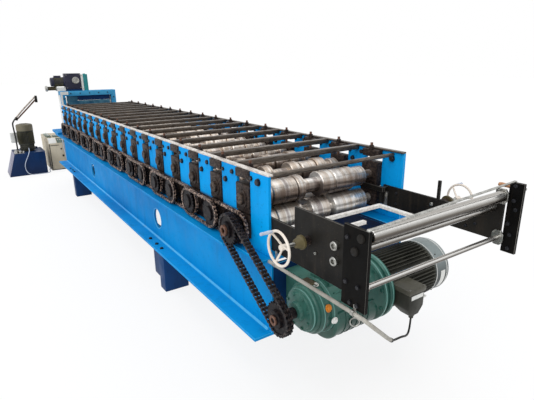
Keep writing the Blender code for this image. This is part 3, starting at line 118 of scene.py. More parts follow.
# Entry table
TOP_ROLLER = (2.605, 1.262, 0.034)
LOWER_ROLLER = (2.57, 1.188, 0.02)
GUIDE_ROD = (2.61, 1.01, 0.0145)
JOURNAL_RADIUS = 0.012
BAR_NEAR_X = 2.632
BAR_FAR_X = 2.640
BAR_WIDTH = 0.017
BAR_THICK = 0.008
WHEEL_X = 2.21
WHEEL_Z = 1.12
WHEEL_Y = 0.76
WHEEL_REACH = 0.091
WHEEL_DISH = 0.026
HANDLE_LINE = (0.0, 0.660, 1.30)

# Cutter, oil station and cabinet
CUTTER_FRONT_X = -4.75
CUTTER_X = -4.85
CUTTER_TOP_Z = 1.61
PUSH_RODS_Y = (-0.30, 0.19)
PRESS_MOTOR_Z = 1.7703
CYLINDER_Z = 1.6603
PUMP = (-6.02, -1.065)
CABINET_FRONT_X = -5.89


def srgb(red, green, blue):
    """Colour as it is seen, 0 to 255, in the shader's own scale."""
    seen = (value / 255 for value in (red, green, blue))
    return tuple(v / 12.92 if v <= 0.04045 else ((v + 0.055) / 1.055) ** 2.4 for v in seen)


def wire(tree, first, output, second, socket):
    """Links one node's output to another's input."""
    tree.links.new(first.outputs[output], second.inputs[socket])


def object_vector(tree, stretch=(1.0, 1.0, 1.0)):
    """Object coordinates, stretched."""
    coordinates = tree.nodes.new("ShaderNodeTexCoord")
    mapping = tree.nodes.new("ShaderNodeMapping")
    mapping.inputs["Scale"].default_value = stretch
    wire(tree, coordinates, "Object", mapping, "Vector")
    return mapping.outputs["Vector"]


def noise(tree, scale, stretch=(1.0, 1.0, 1.0), detail=4.0, rough=0.55):
    """Noise value on object coordinates."""
    node = tree.nodes.new("ShaderNodeTexNoise")
    node.inputs["Scale"].default_value = scale
    node.inputs["Detail"].default_value = detail
    node.inputs["Roughness"].default_value = rough
    tree.links.new(object_vector(tree, stretch), node.inputs["Vector"])
    return node.outputs["Fac"]


def ramp(tree, factor, *stops):
    """Colour ramp with its stops (place, colour)."""
    node = tree.nodes.new("ShaderNodeValToRGB")
    while len(node.color_ramp.elements) < len(stops):
        node.color_ramp.elements.new(0.5)
    for element, (place, colour) in zip(node.color_ramp.elements, stops):
        element.position = place
        element.color = (colour[0], colour[1], colour[2], 1.0)
    tree.links.new(factor, node.inputs["Fac"])
    return node.outputs["Color"]


def grey(value):
    """Grey of one level."""
    return (value, value, value)


def mixed(tree, factor, first, second, how="MIX"):
    """Mix of two colours or colour sockets."""
    node = tree.nodes.new("ShaderNodeMix")
    node.data_type = "RGBA"
    node.blend_type = how
    if isinstance(factor, float):
        node.inputs["Factor"].default_value = factor
    else:
        tree.links.new(factor, node.inputs["Factor"])
    for socket, value in ((node.inputs["A"], first), (node.inputs["B"], second)):
        if isinstance(value, tuple):
            socket.default_value = (value[0], value[1], value[2], 1.0)
        else:
            tree.links.new(value, socket)
    return node.outputs["Result"]


def bumped(tree, shader, height, strength, distance):
    """Bump of a shader from a height value."""
    node = tree.nodes.new("ShaderNodeBump")
    node.inputs["Strength"].default_value = strength
    node.inputs["Distance"].default_value = distance
    tree.links.new(height, node.inputs["Height"])
    wire(tree, node, "Normal", shader, "Normal")


def new_shader(name, metallic=0.0, coat=0.0, specular=0.5):
    """New material with its tree and its shader."""
    material = bpy.data.materials.new(name)
    material.use_nodes = True
    shader = material.node_tree.nodes["Principled BSDF"]
    shader.inputs["Metallic"].default_value = metallic
    shader.inputs["Coat Weight"].default_value = coat
    shader.inputs["Coat Roughness"].default_value = 0.12
    shader.inputs["Specular IOR Level"].default_value = specular
    return material, material.node_tree, shader


def paint(name, light, deep, grime, dirt=0.35, gloss=0.32, coat=0.0, size=1.0, specular=0.25):
    """Sprayed paint: slow change of depth, runs of grime down the sides, specks, fine orange peel."""
    light, deep, grime = srgb(*light), srgb(*deep), srgb(*grime)
    material, tree, shader = new_shader(name, 0.0, coat, specular)
    base = ramp(tree, noise(tree, 0.9 * size), (0.35, deep), (0.62, light))
    runs = ramp(tree, noise(tree, 5.0 * size, (2.4, 2.4, 0.35), 6.0, 0.65),
                (0.52, grey(0.0)), (0.78, grey(dirt)))
    soiled = mixed(tree, runs, base, grime)
    specks = ramp(tree, noise(tree, 55.0 * size, detail=3.0), (0.63, grey(0.0)), (0.70, grey(dirt)))
    tree.links.new(mixed(tree, specks, soiled, grime), shader.inputs["Base Color"])
    shine = ramp(tree, noise(tree, 7.0 * size, detail=6.0), (0.3, grey(gloss)), (0.75, grey(gloss + 0.22)))
    tree.links.new(shine, shader.inputs["Roughness"])
    bumped(tree, shader, noise(tree, 260.0, detail=2.0), 0.06, 0.0006)
    return material


def steel(name, bright, dull, oil, stretch=(1.0, 1.0, 1.0), rough=(0.18, 0.42), metallic=1.0, oiled=0.5,
          spread=(0.38, 0.60), specular=0.5):
    """Worked steel: turning marks along one way, dull patches and a film of old oil."""
    bright, dull, oil = srgb(*bright), srgb(*dull), srgb(*oil)
    material, tree, shader = new_shader(name, metallic=metallic, specular=specular)
    marks = noise(tree, 60.0, stretch, 5.0, 0.7)
    base = ramp(tree, marks, (spread[0], dull), (spread[1], bright))
    film = ramp(tree, noise(tree, 9.0, detail=6.0, rough=0.62), (0.50, grey(0.0)), (0.72, grey(oiled)))
    tree.links.new(mixed(tree, film, base, oil), shader.inputs["Base Color"])
    shine = ramp(tree, marks, (0.3, grey(rough[1])), (0.7, grey(rough[0])))
    tree.links.new(shine, shader.inputs["Roughness"])
    bumped(tree, shader, marks, 0.10, 0.0004)
    return material


def height_share(tree, middle, reach):
    """Height about a level, 0 at its lowest and 1 at its highest."""
    split = tree.nodes.new("ShaderNodeSeparateXYZ")
    share = tree.nodes.new("ShaderNodeMapRange")
    share.inputs["From Min"].default_value = middle - reach
    share.inputs["From Max"].default_value = middle + reach
    tree.links.new(object_vector(tree), split.inputs["Vector"])
    wire(tree, split, "Z", share, "Value")
    return share.outputs["Result"]


def shaded_by_height(material, middle, reach, *stops):
    """Finish multiplied by painted shade that follows the height about a level: darker below, and a painted
    highlight where a stop goes above 1.
    """
    tree = material.node_tree
    base = tree.nodes["Principled BSDF"].inputs["Base Color"]
    shade = ramp(tree, height_share(tree, middle, reach), *stops)
    tree.links.new(mixed(tree, 1.0, base.links[0].from_socket, shade, "MULTIPLY"), base)


def grease_and_painted_shade_foot(material, level, front):
    """Grease thrown by the chains, with painted shade behind them: dark, with navy patches for blue paint in shade,
    over all below a level, behind the first post.
    """
    tree = material.node_tree
    base = tree.nodes["Principled BSDF"].inputs["Base Color"]
    split = tree.nodes.new("ShaderNodeSeparateXYZ")
    tree.links.new(object_vector(tree), split.inputs["Vector"])
    shares = []
    for axis, limit, soft in (("Z", level, 0.012), ("X", front, 0.004)):
        share = tree.nodes.new("ShaderNodeMapRange")
        share.inputs["From Min"].default_value = limit + soft
        share.inputs["From Max"].default_value = limit - soft
        tree.links.new(split.outputs[axis], share.inputs["Value"])
        shares.append(share.outputs["Result"])
    both = tree.nodes.new("ShaderNodeMath")
    both.operation = "MULTIPLY"
    for share, socket in zip(shares, both.inputs):
        tree.links.new(share, socket)
    # dark grease, and navy patches that are painted shade on the blue
    dark_grease_and_shade = ramp(tree, noise(tree, 22.0, detail=5.0), (0.42, srgb(17, 15, 18)), (0.62, srgb(58, 48, 44)),
                  (0.74, srgb(10, 52, 84)))
    tree.links.new(mixed(tree, both.outputs["Value"], base.links[0].from_socket, dark_grease_and_shade), base)


def turned_rolls(name, bright, dull, oil, rough, middle, painted_shading_stops):
    """Rolls whose bands along the shaft differ: bright rims, browned sides, a patchy oil film, and painted light by
    height: a painted highlight along the top and painted shade below.
    """
    bright, dull, oil = srgb(*bright), srgb(*dull), srgb(*oil)
    material, tree, shader = new_shader(name, metallic=0.62)
    marks = noise(tree, 60.0, (0.04, 9.0, 0.04), 3.0, 0.6)
    base = ramp(tree, marks, (0.30, dull), (0.70, bright))
    bands = ramp(tree, noise(tree, 1.0, (0.01, 11.0, 0.01), 2.0, 0.6),
                 (0.34, grey(1.0)), (0.47, (0.66, 0.58, 0.51)), (0.52, grey(1.0)), (0.66, (0.42, 0.38, 0.38)))
    # painted light by height: a painted highlight along the top of each roll and painted shade on its underside
    painted_shading = ramp(tree, height_share(tree, middle, ROLL_SHADING_REACH), *painted_shading_stops)
    film = ramp(tree, noise(tree, 7.0, detail=6.0, rough=0.62), (0.50, grey(0.0)), (0.70, grey(0.7)))
    banded_and_painted_shading = mixed(tree, 1.0, mixed(tree, 1.0, base, bands, "MULTIPLY"), painted_shading, "MULTIPLY")
    tree.links.new(mixed(tree, film, banded_and_painted_shading, oil), shader.inputs["Base Color"])
    shine = ramp(tree, film, (0.1, grey(rough[0])), (0.9, grey(rough[1])))
    tree.links.new(shine, shader.inputs["Roughness"])
    bumped(tree, shader, marks, 0.06, 0.0003)
    return material


def chrome_with_painted_highlight(name, middle, reach):
    """Hard chrome of one roller or rod with painted light: a painted highlight along its top and brownish painted
    shade round its lower half.
    """
    material, tree, shader = new_shader(name, metallic=0.85)
    marks = noise(tree, 60.0, (0.05, 10.0, 0.05), 3.0, 0.6)
    # painted highlight and painted shade by height about the axis: white along the top, dark brown below
    painted_highlight_bands = ramp(tree, height_share(tree, middle, reach), (0.0, srgb(52, 46, 40)), (0.22, srgb(92, 84, 74)),
                   (0.34, srgb(48, 42, 38)), (0.52, srgb(104, 98, 90)), (0.68, srgb(186, 184, 180)),
                   (0.82, srgb(244, 243, 240)), (0.97, srgb(176, 172, 166)))
    dulled = mixed(tree, ramp(tree, marks, (0.35, grey(0.0)), (0.7, grey(0.3))), painted_highlight_bands, srgb(92, 84, 76))
    tree.links.new(dulled, shader.inputs["Base Color"])
    spots = ramp(tree, noise(tree, 24.0, detail=5.0), (0.4, grey(0.14)), (0.7, grey(0.34)))
    tree.links.new(spots, shader.inputs["Roughness"])
    bumped(tree, shader, marks, 0.05, 0.0002)
    return material


def make_materials():
    """Every finish by its short name."""
    across = (0.05, 10.0, 0.05)
    m = {}
    m["blue"] = paint("machine_blue_paint", (0, 140, 208), (0, 118, 186), (8, 50, 92), 0.30, 0.42, specular=0.06)
    m["post_blue"] = paint("post_blue_paint", (0, 156, 228), (0, 140, 212), (8, 54, 100), 0.30, 0.40, specular=0.08)
    # near side frame paint: its foot behind the chains is darkened by grease and painted shade
    m["greased_blue"] = paint("greased_post_paint", (0, 156, 228), (0, 140, 212), (8, 54, 100), 0.30, 0.40,
                              specular=0.08)
    grease_and_painted_shade_foot(m["greased_blue"], 1.108, 1.60)
    # light blue for softened edges, weld seams and hole rims: rubbed paint and a painted highlight
    m["blue_edge"] = paint("worn_blue_edge", (70, 178, 228), (38, 150, 214), (110, 120, 128), 0.4, 0.35)
    # navy stands for the machine's blue in shade: painted shade on the cross members, sleepers and far beam's inner
    # faces
    m["navy"] = paint("shaded_navy_paint", (10, 56, 104), (5, 38, 78), (6, 18, 38), 0.5, 0.42, specular=0.16)
    # stops of the painted light on the rolls: painted shade low, a painted highlight near the top
    upper_painted_shading = ((0.0, grey(0.05)), (0.25, (0.16, 0.13, 0.12)), (0.45, (0.26, 0.21, 0.19)),
                  (0.62, (0.42, 0.37, 0.34)), (0.72, grey(0.98)), (0.84, grey(1.0)), (0.97, (0.5, 0.46, 0.43)))
    lower_painted_shading = ((0.0, (0.05, 0.05, 0.08)), (0.28, (0.12, 0.12, 0.17)), (0.42, grey(0.55)), (0.55, grey(1.0)),
                  (0.78, grey(1.0)), (0.95, (0.55, 0.5, 0.46)))
    for word, middle, painted_shading in (("upper", UPPER_Z, upper_painted_shading), ("lower", LOWER_Z, lower_painted_shading)):
        m[f"{word}_rolls"] = turned_rolls(f"first_{word}_roll_steel", (252, 250, 246), (222, 218, 212),
                                          (84, 66, 56), (0.24, 0.40), middle, painted_shading)
        m[f"{word}_old_rolls"] = turned_rolls(f"browned_{word}_roll_steel", (244, 238, 230), (208, 196, 184),
                                              (70, 56, 48), (0.30, 0.50), middle, painted_shading)
    # rollers and rod: a painted highlight along the top and painted shade below
    m["top_roller"] = chrome_with_painted_highlight("top_roller_chrome", TOP_ROLLER[1], TOP_ROLLER[2])
    m["lower_roller"] = chrome_with_painted_highlight("lower_roller_chrome", LOWER_ROLLER[1], LOWER_ROLLER[2])
    m["rod"] = chrome_with_painted_highlight("guide_rod_chrome", GUIDE_ROD[1], GUIDE_ROD[2])
    m["chrome"] = steel("hard_chrome", (206, 206, 204), (150, 148, 142), (84, 80, 70), across, (0.10, 0.20),
                        oiled=0.3)
    m["zinc"] = steel("zinc_plate", (190, 190, 185), (136, 136, 132), (88, 80, 72), rough=(0.25, 0.45))
    m["blocks"] = steel("oiled_bearing_steel", (84, 70, 62), (30, 25, 25), (12, 10, 12), rough=(0.38, 0.6),
                        metallic=0.2, spread=(0.42, 0.70), specular=0.18)
    m["strip"] = steel("worn_top_strip", (232, 228, 222), (178, 168, 160), (104, 84, 72), (0.4, 2.0, 2.0),
                       (0.3, 0.55), 0.5)
    m["ties"] = steel("oiled_tie_bar_steel", (112, 102, 92), (54, 47, 42), (26, 22, 20), (6.0, 0.3, 6.0),
                      (0.26, 0.48), 0.6)
    m["guide"] = steel("bright_guide_bar", (242, 240, 236), (210, 206, 200), (150, 138, 126), (1.0, 1.0, 1.0),
                       (0.3, 0.5), 0.15)
    m["rust"] = steel("browned_screw_steel", (128, 92, 74), (78, 52, 42), (40, 28, 24), rough=(0.4, 0.65),
                      metallic=0.6)
    m["chain"] = steel("oiled_chain_steel", (208, 180, 162), (52, 42, 40), (18, 15, 19), rough=(0.30, 0.5),
                       metallic=0.2, oiled=0.8, spread=(0.47, 0.63), specular=0.25)
    m["drive_chain"] = steel("drive_chain_steel", (84, 70, 64), (26, 23, 26), (11, 10, 15), rough=(0.30, 0.5),
                             metallic=0.1, oiled=0.8, spread=(0.50, 0.68), specular=0.2)
    m["sprocket"] = steel("oiled_sprocket_steel", (56, 47, 44), (15, 13, 17), (8, 7, 11), rough=(0.36, 0.55),
                          metallic=0.0, oiled=0.9, spread=(0.48, 0.74), specular=0.12)
    m["black"] = paint("blackened_plate", (38, 36, 33), (14, 13, 12), (70, 60, 50), 0.4, 0.40, size=1.6,
                       specular=0.14)
    m["upright"] = paint("black_upright_paint", (14, 13, 12), (6, 6, 6), (36, 29, 24), 0.4, 0.42, size=2.0,
                         specular=0.07)
    m["black_edge"] = paint("rubbed_black_edge", (112, 108, 102), (60, 58, 54), (52, 42, 34), 0.4, 0.34)
    m["green"] = paint("reducer_green_enamel", (72, 124, 112), (24, 72, 64), (22, 36, 32), 0.45, 0.28, 0.2,
                       size=2.5)
    # painted shade on the lower reducer and a painted highlight on its top, by height
    shaded_by_height(m["green"], DRIVE_Z, 0.21, (0.0, (0.22, 0.34, 0.30)), (0.22, (0.42, 0.52, 0.47)),
                     (0.55, grey(0.80)), (0.90, (1.22, 1.14, 1.12)))
    m["green_rim"] = paint("rubbed_green_rim", (112, 158, 150), (62, 108, 100), (50, 70, 62), 0.4, 0.26)
    m["lid"] = paint("terminal_lid_grey", (92, 90, 78), (66, 64, 56), (40, 38, 32), 0.4, 0.32, size=3.0)
    m["olive"] = paint("olive_brown_enamel", (104, 94, 62), (62, 55, 38), (34, 29, 22), 0.45, 0.3, size=3.0)
    m["motor"] = paint("motor_olive_black", (66, 66, 58), (38, 38, 33), (18, 18, 15), 0.35, 0.38, size=3.0,
                       specular=0.2)
    m["fins"] = paint("motor_fin_edges", (74, 74, 66), (34, 34, 30), (16, 16, 13), 0.35, 0.34, size=3.0,
                      specular=0.3)
    m["cover"] = paint("fan_cover_grey", (140, 150, 150), (108, 118, 118), (66, 70, 66), 0.3, 0.28, size=2.5)
    # painted shade on the lower fan cover, lighter towards its top as a painted highlight
    shaded_by_height(m["cover"], DRIVE_Z, 0.185, (0.0, grey(0.16)), (0.42, grey(0.20)), (0.66, grey(0.62)),
                     (0.85, grey(1.0)))
    m["ivory"] = paint("wheel_ivory_enamel", (232, 222, 210), (205, 192, 178), (120, 100, 84), 0.35, 0.22, 0.3,
                       size=4.0)
    m["cream"] = paint("cabinet_cream_enamel", (204, 194, 172), (180, 170, 148), (106, 94, 76), 0.3, 0.4, size=1.5)
    m["tank"] = paint("tank_deep_blue", (14, 46, 88), (7, 28, 62), (8, 14, 30), 0.4, 0.36, specular=0.16)
    m["tank_side"] = paint("tank_pale_side", (146, 148, 168), (116, 112, 124), (98, 74, 60), 0.6, 0.45,
                           specular=0.1)
    m["teal"] = paint("teal_enamel", (56, 152, 152), (30, 112, 116), (18, 56, 56), 0.3, 0.3, size=3.0)
    m["rail"] = paint("housing_rail_paint", (86, 134, 150), (40, 86, 112), (22, 34, 46), 0.5, 0.4, size=6.0,
                      specular=0.15)
    m["white"] = paint("bare_white_plate", (232, 232, 228), (212, 212, 208), (160, 156, 148), 0.25, 0.4, size=4.0)
    m["conduit"] = paint("conduit_grey", (176, 173, 164), (140, 136, 128), (88, 80, 72), 0.4, 0.42, size=4.0)
    m["cable"] = paint("black_cable_rubber", (38, 38, 36), (22, 22, 21), (56, 52, 46), 0.3, 0.5, size=4.0)
    m["amber"] = paint("amber_plug", (206, 130, 40), (170, 96, 26), (90, 60, 30), 0.4, 0.25, size=6.0)
    m["handle"] = paint("brown_grip", (196, 146, 108), (160, 110, 76), (90, 60, 44), 0.4, 0.45, size=6.0)
    m["bolt"] = steel("blackened_bolts", (46, 46, 50), (20, 22, 30), (12, 11, 11), rough=(0.32, 0.5), metallic=0.5)
    m["collars"] = steel("browned_collar_steel", (88, 74, 64), (36, 29, 27), (14, 12, 12), rough=(0.35, 0.6),
                         metallic=0.7)
    m["portal"] = paint("portal_cyan_paint", (78, 172, 212), (46, 138, 186), (40, 70, 84), 0.35, 0.36)
    m["press_block"] = paint("press_block_enamel", (48, 48, 66), (26, 28, 46), (14, 14, 22), 0.45, 0.34, size=4.0)
    m["lead"] = paint("pale_cable_sheath", (190, 200, 216), (164, 172, 190), (112, 110, 112), 0.3, 0.45, size=4.0)
    m["pump"] = paint("pump_motor_olive", (104, 102, 84), (62, 60, 48), (26, 24, 20), 0.45, 0.34, size=4.0)
    m["cover_olive"] = paint("pump_cover_olive_grey", (112, 106, 88), (76, 70, 56), (44, 40, 32), 0.4, 0.32,
                             size=4.0)
    m["tray"] = paint("grey_green_tray", (122, 134, 122), (84, 98, 90), (52, 54, 50), 0.4, 0.4, size=4.0)
    m["pipe"] = steel("browned_pipe_steel", (186, 176, 164), (120, 108, 98), (58, 48, 42), rough=(0.28, 0.5),
                      metallic=0.7)
    m["blade"] = steel("ground_blade_steel", (150, 160, 172), (84, 92, 104), (40, 44, 52), rough=(0.24, 0.4),
                       oiled=0.6)
    return m


def add_box(bm, low, high):
    """Box between two corners."""
    size = Vector(high) - Vector(low)
    centre = (Vector(high) + Vector(low)) / 2
    place = Matrix.Translation(centre) @ Matrix.Diagonal((size.x, size.y, size.z, 1.0))
    bmesh.ops.create_cube(bm, size=1.0, matrix=place)


def add_prism(bm, outline, start, end, axis="Y"):
    """Outline of pairs, pushed along an axis: (x, z) along Y, (y, z) along X, (x, y) along Z."""
    def place(first, second, along):
        if axis == "Y":
            return (first, along, second)
        if axis == "X":
            return (along, first, second)
        return (first, second, along)
    low = [bm.verts.new(place(a, b, start)) for a, b in outline]
    high = [bm.verts.new(place(a, b, end)) for a, b in outline]
    bm.faces.new(low)
    bm.faces.new(high)
    for step, vert in enumerate(low):
        after = (step + 1) % len(low)
        bm.faces.new((vert, low[after], high[after], high[step]))


def bridge(bm, rings, closed=False):
    """Faces from ring to ring, and at both ends unless the last ring joins the first."""
    for first, second in zip(rings, rings[1:] + (rings[:1] if closed else [])):
        for side, vert in enumerate(first):
            after = (side + 1) % len(first)
            bm.faces.new((vert, first[after], second[after], second[side]))
    if not closed:
        bm.faces.new(rings[0])
        bm.faces.new(rings[-1])


def circle_verts(bm, along, radius, sides, centre, axis):
    """Ring of new points about an axis through a centre."""
    verts = []
    for side in range(sides):
        angle = 2 * math.pi * side / sides
        across, rise = radius * math.cos(angle), radius * math.sin(angle)
        point = {"Y": (across, along, rise), "X": (along, across, rise), "Z": (across, rise, along)}[axis]
        verts.append(bm.verts.new(Vector(centre) + Vector(point)))
    return verts


def add_turned(bm, profile, sides, centre=(0.0, 0.0, 0.0), axis="Y"):
    """Steps of (distance along the axis, radius) turned about it and closed at both ends."""
    bridge(bm, [circle_verts(bm, along, radius, sides, centre, axis) for along, radius in profile])


def add_ring(bm, outer, inner, start, end, sides, centre, axis="Y"):
    """Washer-like ring with a square section."""
    corners = ((outer, start), (outer, end), (inner, end), (inner, start))
    bridge(bm, [circle_verts(bm, along, radius, sides, centre, axis) for radius, along in corners], True)


def add_tube(bm, path, radius, sides=12, closed=False):
    """Round tube through the points of a path."""
    points = [Vector(p) for p in path]
    rings = []
    normal = None
    for step, point in enumerate(points):
        before = points[step - 1] if step or closed else point
        after = points[(step + 1) % len(points)] if step + 1 < len(points) or closed else point
        tangent = (after - before).normalized()
        if normal is None:
            normal = tangent.orthogonal().normalized()
        normal = (normal - tangent * normal.dot(tangent)).normalized()
        other = tangent.cross(normal)
        ring = []
        for side in range(sides):
            angle = 2 * math.pi * side / sides
            ring.append(bm.verts.new(point + (normal * math.cos(angle) + other * math.sin(angle)) * radius))
        rings.append(ring)
    bridge(bm, rings, closed)


def smooth_path(points, steps=8):
    """Points of one smooth curve through the given ones."""
    knots = [Vector(p) for p in points]
    knots = [2 * knots[0] - knots[1]] + knots + [2 * knots[-1] - knots[-2]]
    path = []
    for a, b, c, d in zip(knots, knots[1:], knots[2:], knots[3:]):
        for step in range(steps):
            t = step / steps
            path.append(0.5 * ((2 * b) + (c - a) * t + (2 * a - 5 * b + 4 * c - d) * t ** 2
                               + (3 * b - a - 3 * c + d) * t ** 3))
    path.append(knots[-2])
    return path


def toothed_outline(teeth, root, tip):
    """Outline of a toothed wheel about the origin."""
    outline = []
    for tooth in range(teeth):
        for share, radius in ((0.0, root), (0.28, root), (0.44, tip), (0.60, tip)):
            angle = 2 * math.pi * (tooth + share) / teeth
            outline.append((radius * math.cos(angle), radius * math.sin(angle)))
    return outline


def soften(bm, width, segments=1, edge_material=-1):
    """Bevels every edge that turns by more than the softened angle; the new faces may take an edge finish."""
    bmesh.ops.remove_doubles(bm, verts=bm.verts, dist=MERGED_BELOW)
    bmesh.ops.recalc_face_normals(bm, faces=bm.faces)
    edges = [e for e in bm.edges if e.is_manifold and e.calc_face_angle(0.0) > math.radians(SOFTENED_ANGLE)]
    bmesh.ops.bevel(bm, geom=edges, offset=width, offset_type="OFFSET", segments=segments, profile=0.5,
                    affect="EDGES", clamp_overlap=True, material=edge_material)


def place_piece(name, mesh, materials, body="machine", stands_for=(), angle=35.0):
    """Gives a finished mesh its finish, its body and the nodes it stands for."""
    mesh.name = name
    for material in materials:
        mesh.materials.append(material)
    mesh.shade_smooth()
    mesh.set_sharp_from_angle(angle=math.radians(angle))
    piece = bpy.data.objects.new(name, mesh)
    bpy.context.scene.collection.objects.link(piece)
    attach(piece, body)
    if stands_for:
        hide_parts(*stands_for)
    return piece


def piece_from(name, bm, materials, body="machine", stands_for=(), angle=35.0):
    """Piece of a bmesh, which is then freed."""
    bmesh.ops.recalc_face_normals(bm, faces=bm.faces)
    mesh = bpy.data.meshes.new(name)
    bm.to_mesh(mesh)
    bm.free()
    return place_piece(name, mesh, materials, body, stands_for, angle)


def boxed_piece(name, boxes, width, material, segments=1):
    """Piece of softened boxes, each between its two corners."""
    bm = bmesh.new()
    for low, high in boxes:
        add_box(bm, low, high)
    soften(bm, width, segments)
    piece_from(name, bm, [material])


def new_tree(name, inputs):
    """Empty geometry tree with its inputs, its first and its last node."""
    tree = bpy.data.node_groups.new(name, "GeometryNodeTree")
    tree.interface.new_socket("Geometry", in_out="INPUT", socket_type="NodeSocketGeometry")
    for label, kind in inputs:
        tree.interface.new_socket(label, in_out="INPUT", socket_type=kind)
    tree.interface.new_socket("Geometry", in_out="OUTPUT", socket_type="NodeSocketGeometry")
    return tree, tree.nodes.new("NodeGroupInput"), tree.nodes.new("NodeGroupOutput")


def close_tree(tree, start, end, geometry):
    """Ends a tree: instances become real faces and take the finish."""
    realize = tree.nodes.new("GeometryNodeRealizeInstances")
    finish = tree.nodes.new("GeometryNodeSetMaterial")
    tree.links.new(geometry, realize.inputs["Geometry"])
    wire(tree, realize, "Geometry", finish, "Geometry")
    wire(tree, start, "Finish", finish, "Material")
    wire(tree, finish, "Geometry", end, "Geometry")


def source_of(tree, start, label):
    """Geometry of the object that an input names."""
    info = tree.nodes.new("GeometryNodeObjectInfo")
    tree.links.new(start.outputs[label], info.inputs["Object"])
    return info.outputs["Geometry"]


def row_tree():
    """Copies of a piece in a straight row."""
    tree, start, end = new_tree("row_of_pieces", (
        ("Piece", "NodeSocketObject"), ("Count", "NodeSocketInt"), ("Step", "NodeSocketVector"),
        ("Finish", "NodeSocketMaterial")))
    line = tree.nodes.new("GeometryNodeMeshLine")
    line.mode = "OFFSET"
    copies = tree.nodes.new("GeometryNodeInstanceOnPoints")
    wire(tree, start, "Count", line, "Count")
    wire(tree, start, "Step", line, "Offset")
    wire(tree, line, "Mesh", copies, "Points")
    tree.links.new(source_of(tree, start, "Piece"), copies.inputs["Instance"])
    close_tree(tree, start, end, copies.outputs["Instances"])
    return tree


def spun_tree():
    """Copies of a piece turned about an axis along Y through the origin, then moved to a centre."""
    tree, start, end = new_tree("spun_pieces", (
        ("Piece", "NodeSocketObject"), ("Count", "NodeSocketInt"), ("Turn", "NodeSocketFloat"),
        ("Centre", "NodeSocketVector"), ("Finish", "NodeSocketMaterial")))
    points = tree.nodes.new("GeometryNodePoints")
    index = tree.nodes.new("GeometryNodeInputIndex")
    times = tree.nodes.new("ShaderNodeMath")
    times.operation = "MULTIPLY"
    turn = tree.nodes.new("ShaderNodeCombineXYZ")
    copies = tree.nodes.new("GeometryNodeInstanceOnPoints")
    wire(tree, start, "Count", points, "Count")
    wire(tree, start, "Centre", points, "Position")
    wire(tree, index, "Index", times, 0)
    wire(tree, start, "Turn", times, 1)
    wire(tree, times, "Value", turn, "Y")
    wire(tree, points, "Points", copies, "Points")
    tree.links.new(source_of(tree, start, "Piece"), copies.inputs["Instance"])
    wire(tree, turn, "Vector", copies, "Rotation")
    close_tree(tree, start, end, copies.outputs["Instances"])
    return tree


def scatter_tree():
    """Copies of a piece on points, its Z turned to each point's own axis and its size to its own."""
    tree, start, end = new_tree("set_fasteners", (("Piece", "NodeSocketObject"), ("Finish", "NodeSocketMaterial")))
    axis = tree.nodes.new("GeometryNodeInputNamedAttribute")
    axis.data_type = "FLOAT_VECTOR"
    axis.inputs["Name"].default_value = "axis"
    size = tree.nodes.new("GeometryNodeInputNamedAttribute")
    size.data_type = "FLOAT"
    size.inputs["Name"].default_value = "size"
    align = tree.nodes.new("FunctionNodeAlignRotationToVector")
    align.axis = "Z"
    copies = tree.nodes.new("GeometryNodeInstanceOnPoints")
    wire(tree, start, "Geometry", copies, "Points")
    wire(tree, axis, "Attribute", align, "Vector")
    wire(tree, align, "Rotation", copies, "Rotation")
    wire(tree, size, "Attribute", copies, "Scale")
    tree.links.new(source_of(tree, start, "Piece"), copies.inputs["Instance"])
    close_tree(tree, start, end, copies.outputs["Instances"])
    return tree


def chain_tree():
    """Links set by turns along a closed path that lies upright, their pins along Y."""
    tree, start, end = new_tree("roller_chain", (
        ("Outer link", "NodeSocketObject"), ("Inner link", "NodeSocketObject"), ("Links", "NodeSocketInt"),
        ("Finish", "NodeSocketMaterial")))
    curve = tree.nodes.new("GeometryNodeMeshToCurve")
    spaced = tree.nodes.new("GeometryNodeResampleCurve")
    tangent = tree.nodes.new("GeometryNodeInputTangent")
    align = tree.nodes.new("FunctionNodeAlignRotationToVector")
    align.axis = "X"
    align.pivot_axis = "Y"
    index = tree.nodes.new("GeometryNodeInputIndex")
    odd = tree.nodes.new("ShaderNodeMath")
    odd.operation = "MODULO"
    odd.inputs[1].default_value = 2.0
    even = tree.nodes.new("ShaderNodeMath")
    even.operation = "SUBTRACT"
    even.inputs[0].default_value = 1.0
    join = tree.nodes.new("GeometryNodeJoinGeometry")
    wire(tree, start, "Geometry", curve, "Mesh")
    wire(tree, curve, "Curve", spaced, "Curve")
    wire(tree, start, "Links", spaced, "Count")
    wire(tree, tangent, "Tangent", align, "Vector")
    wire(tree, index, "Index", odd, 0)
    wire(tree, odd, "Value", even, 1)
    for label, chosen in (("Outer link", even), ("Inner link", odd)):
        copies = tree.nodes.new("GeometryNodeInstanceOnPoints")
        wire(tree, spaced, "Curve", copies, "Points")
        wire(tree, chosen, "Value", copies, "Selection")
        tree.links.new(source_of(tree, start, label), copies.inputs["Instance"])
        wire(tree, align, "Rotation", copies, "Rotation")
        wire(tree, copies, "Instances", join, "Geometry")
    close_tree(tree, start, end, join.outputs["Geometry"])
    return tree


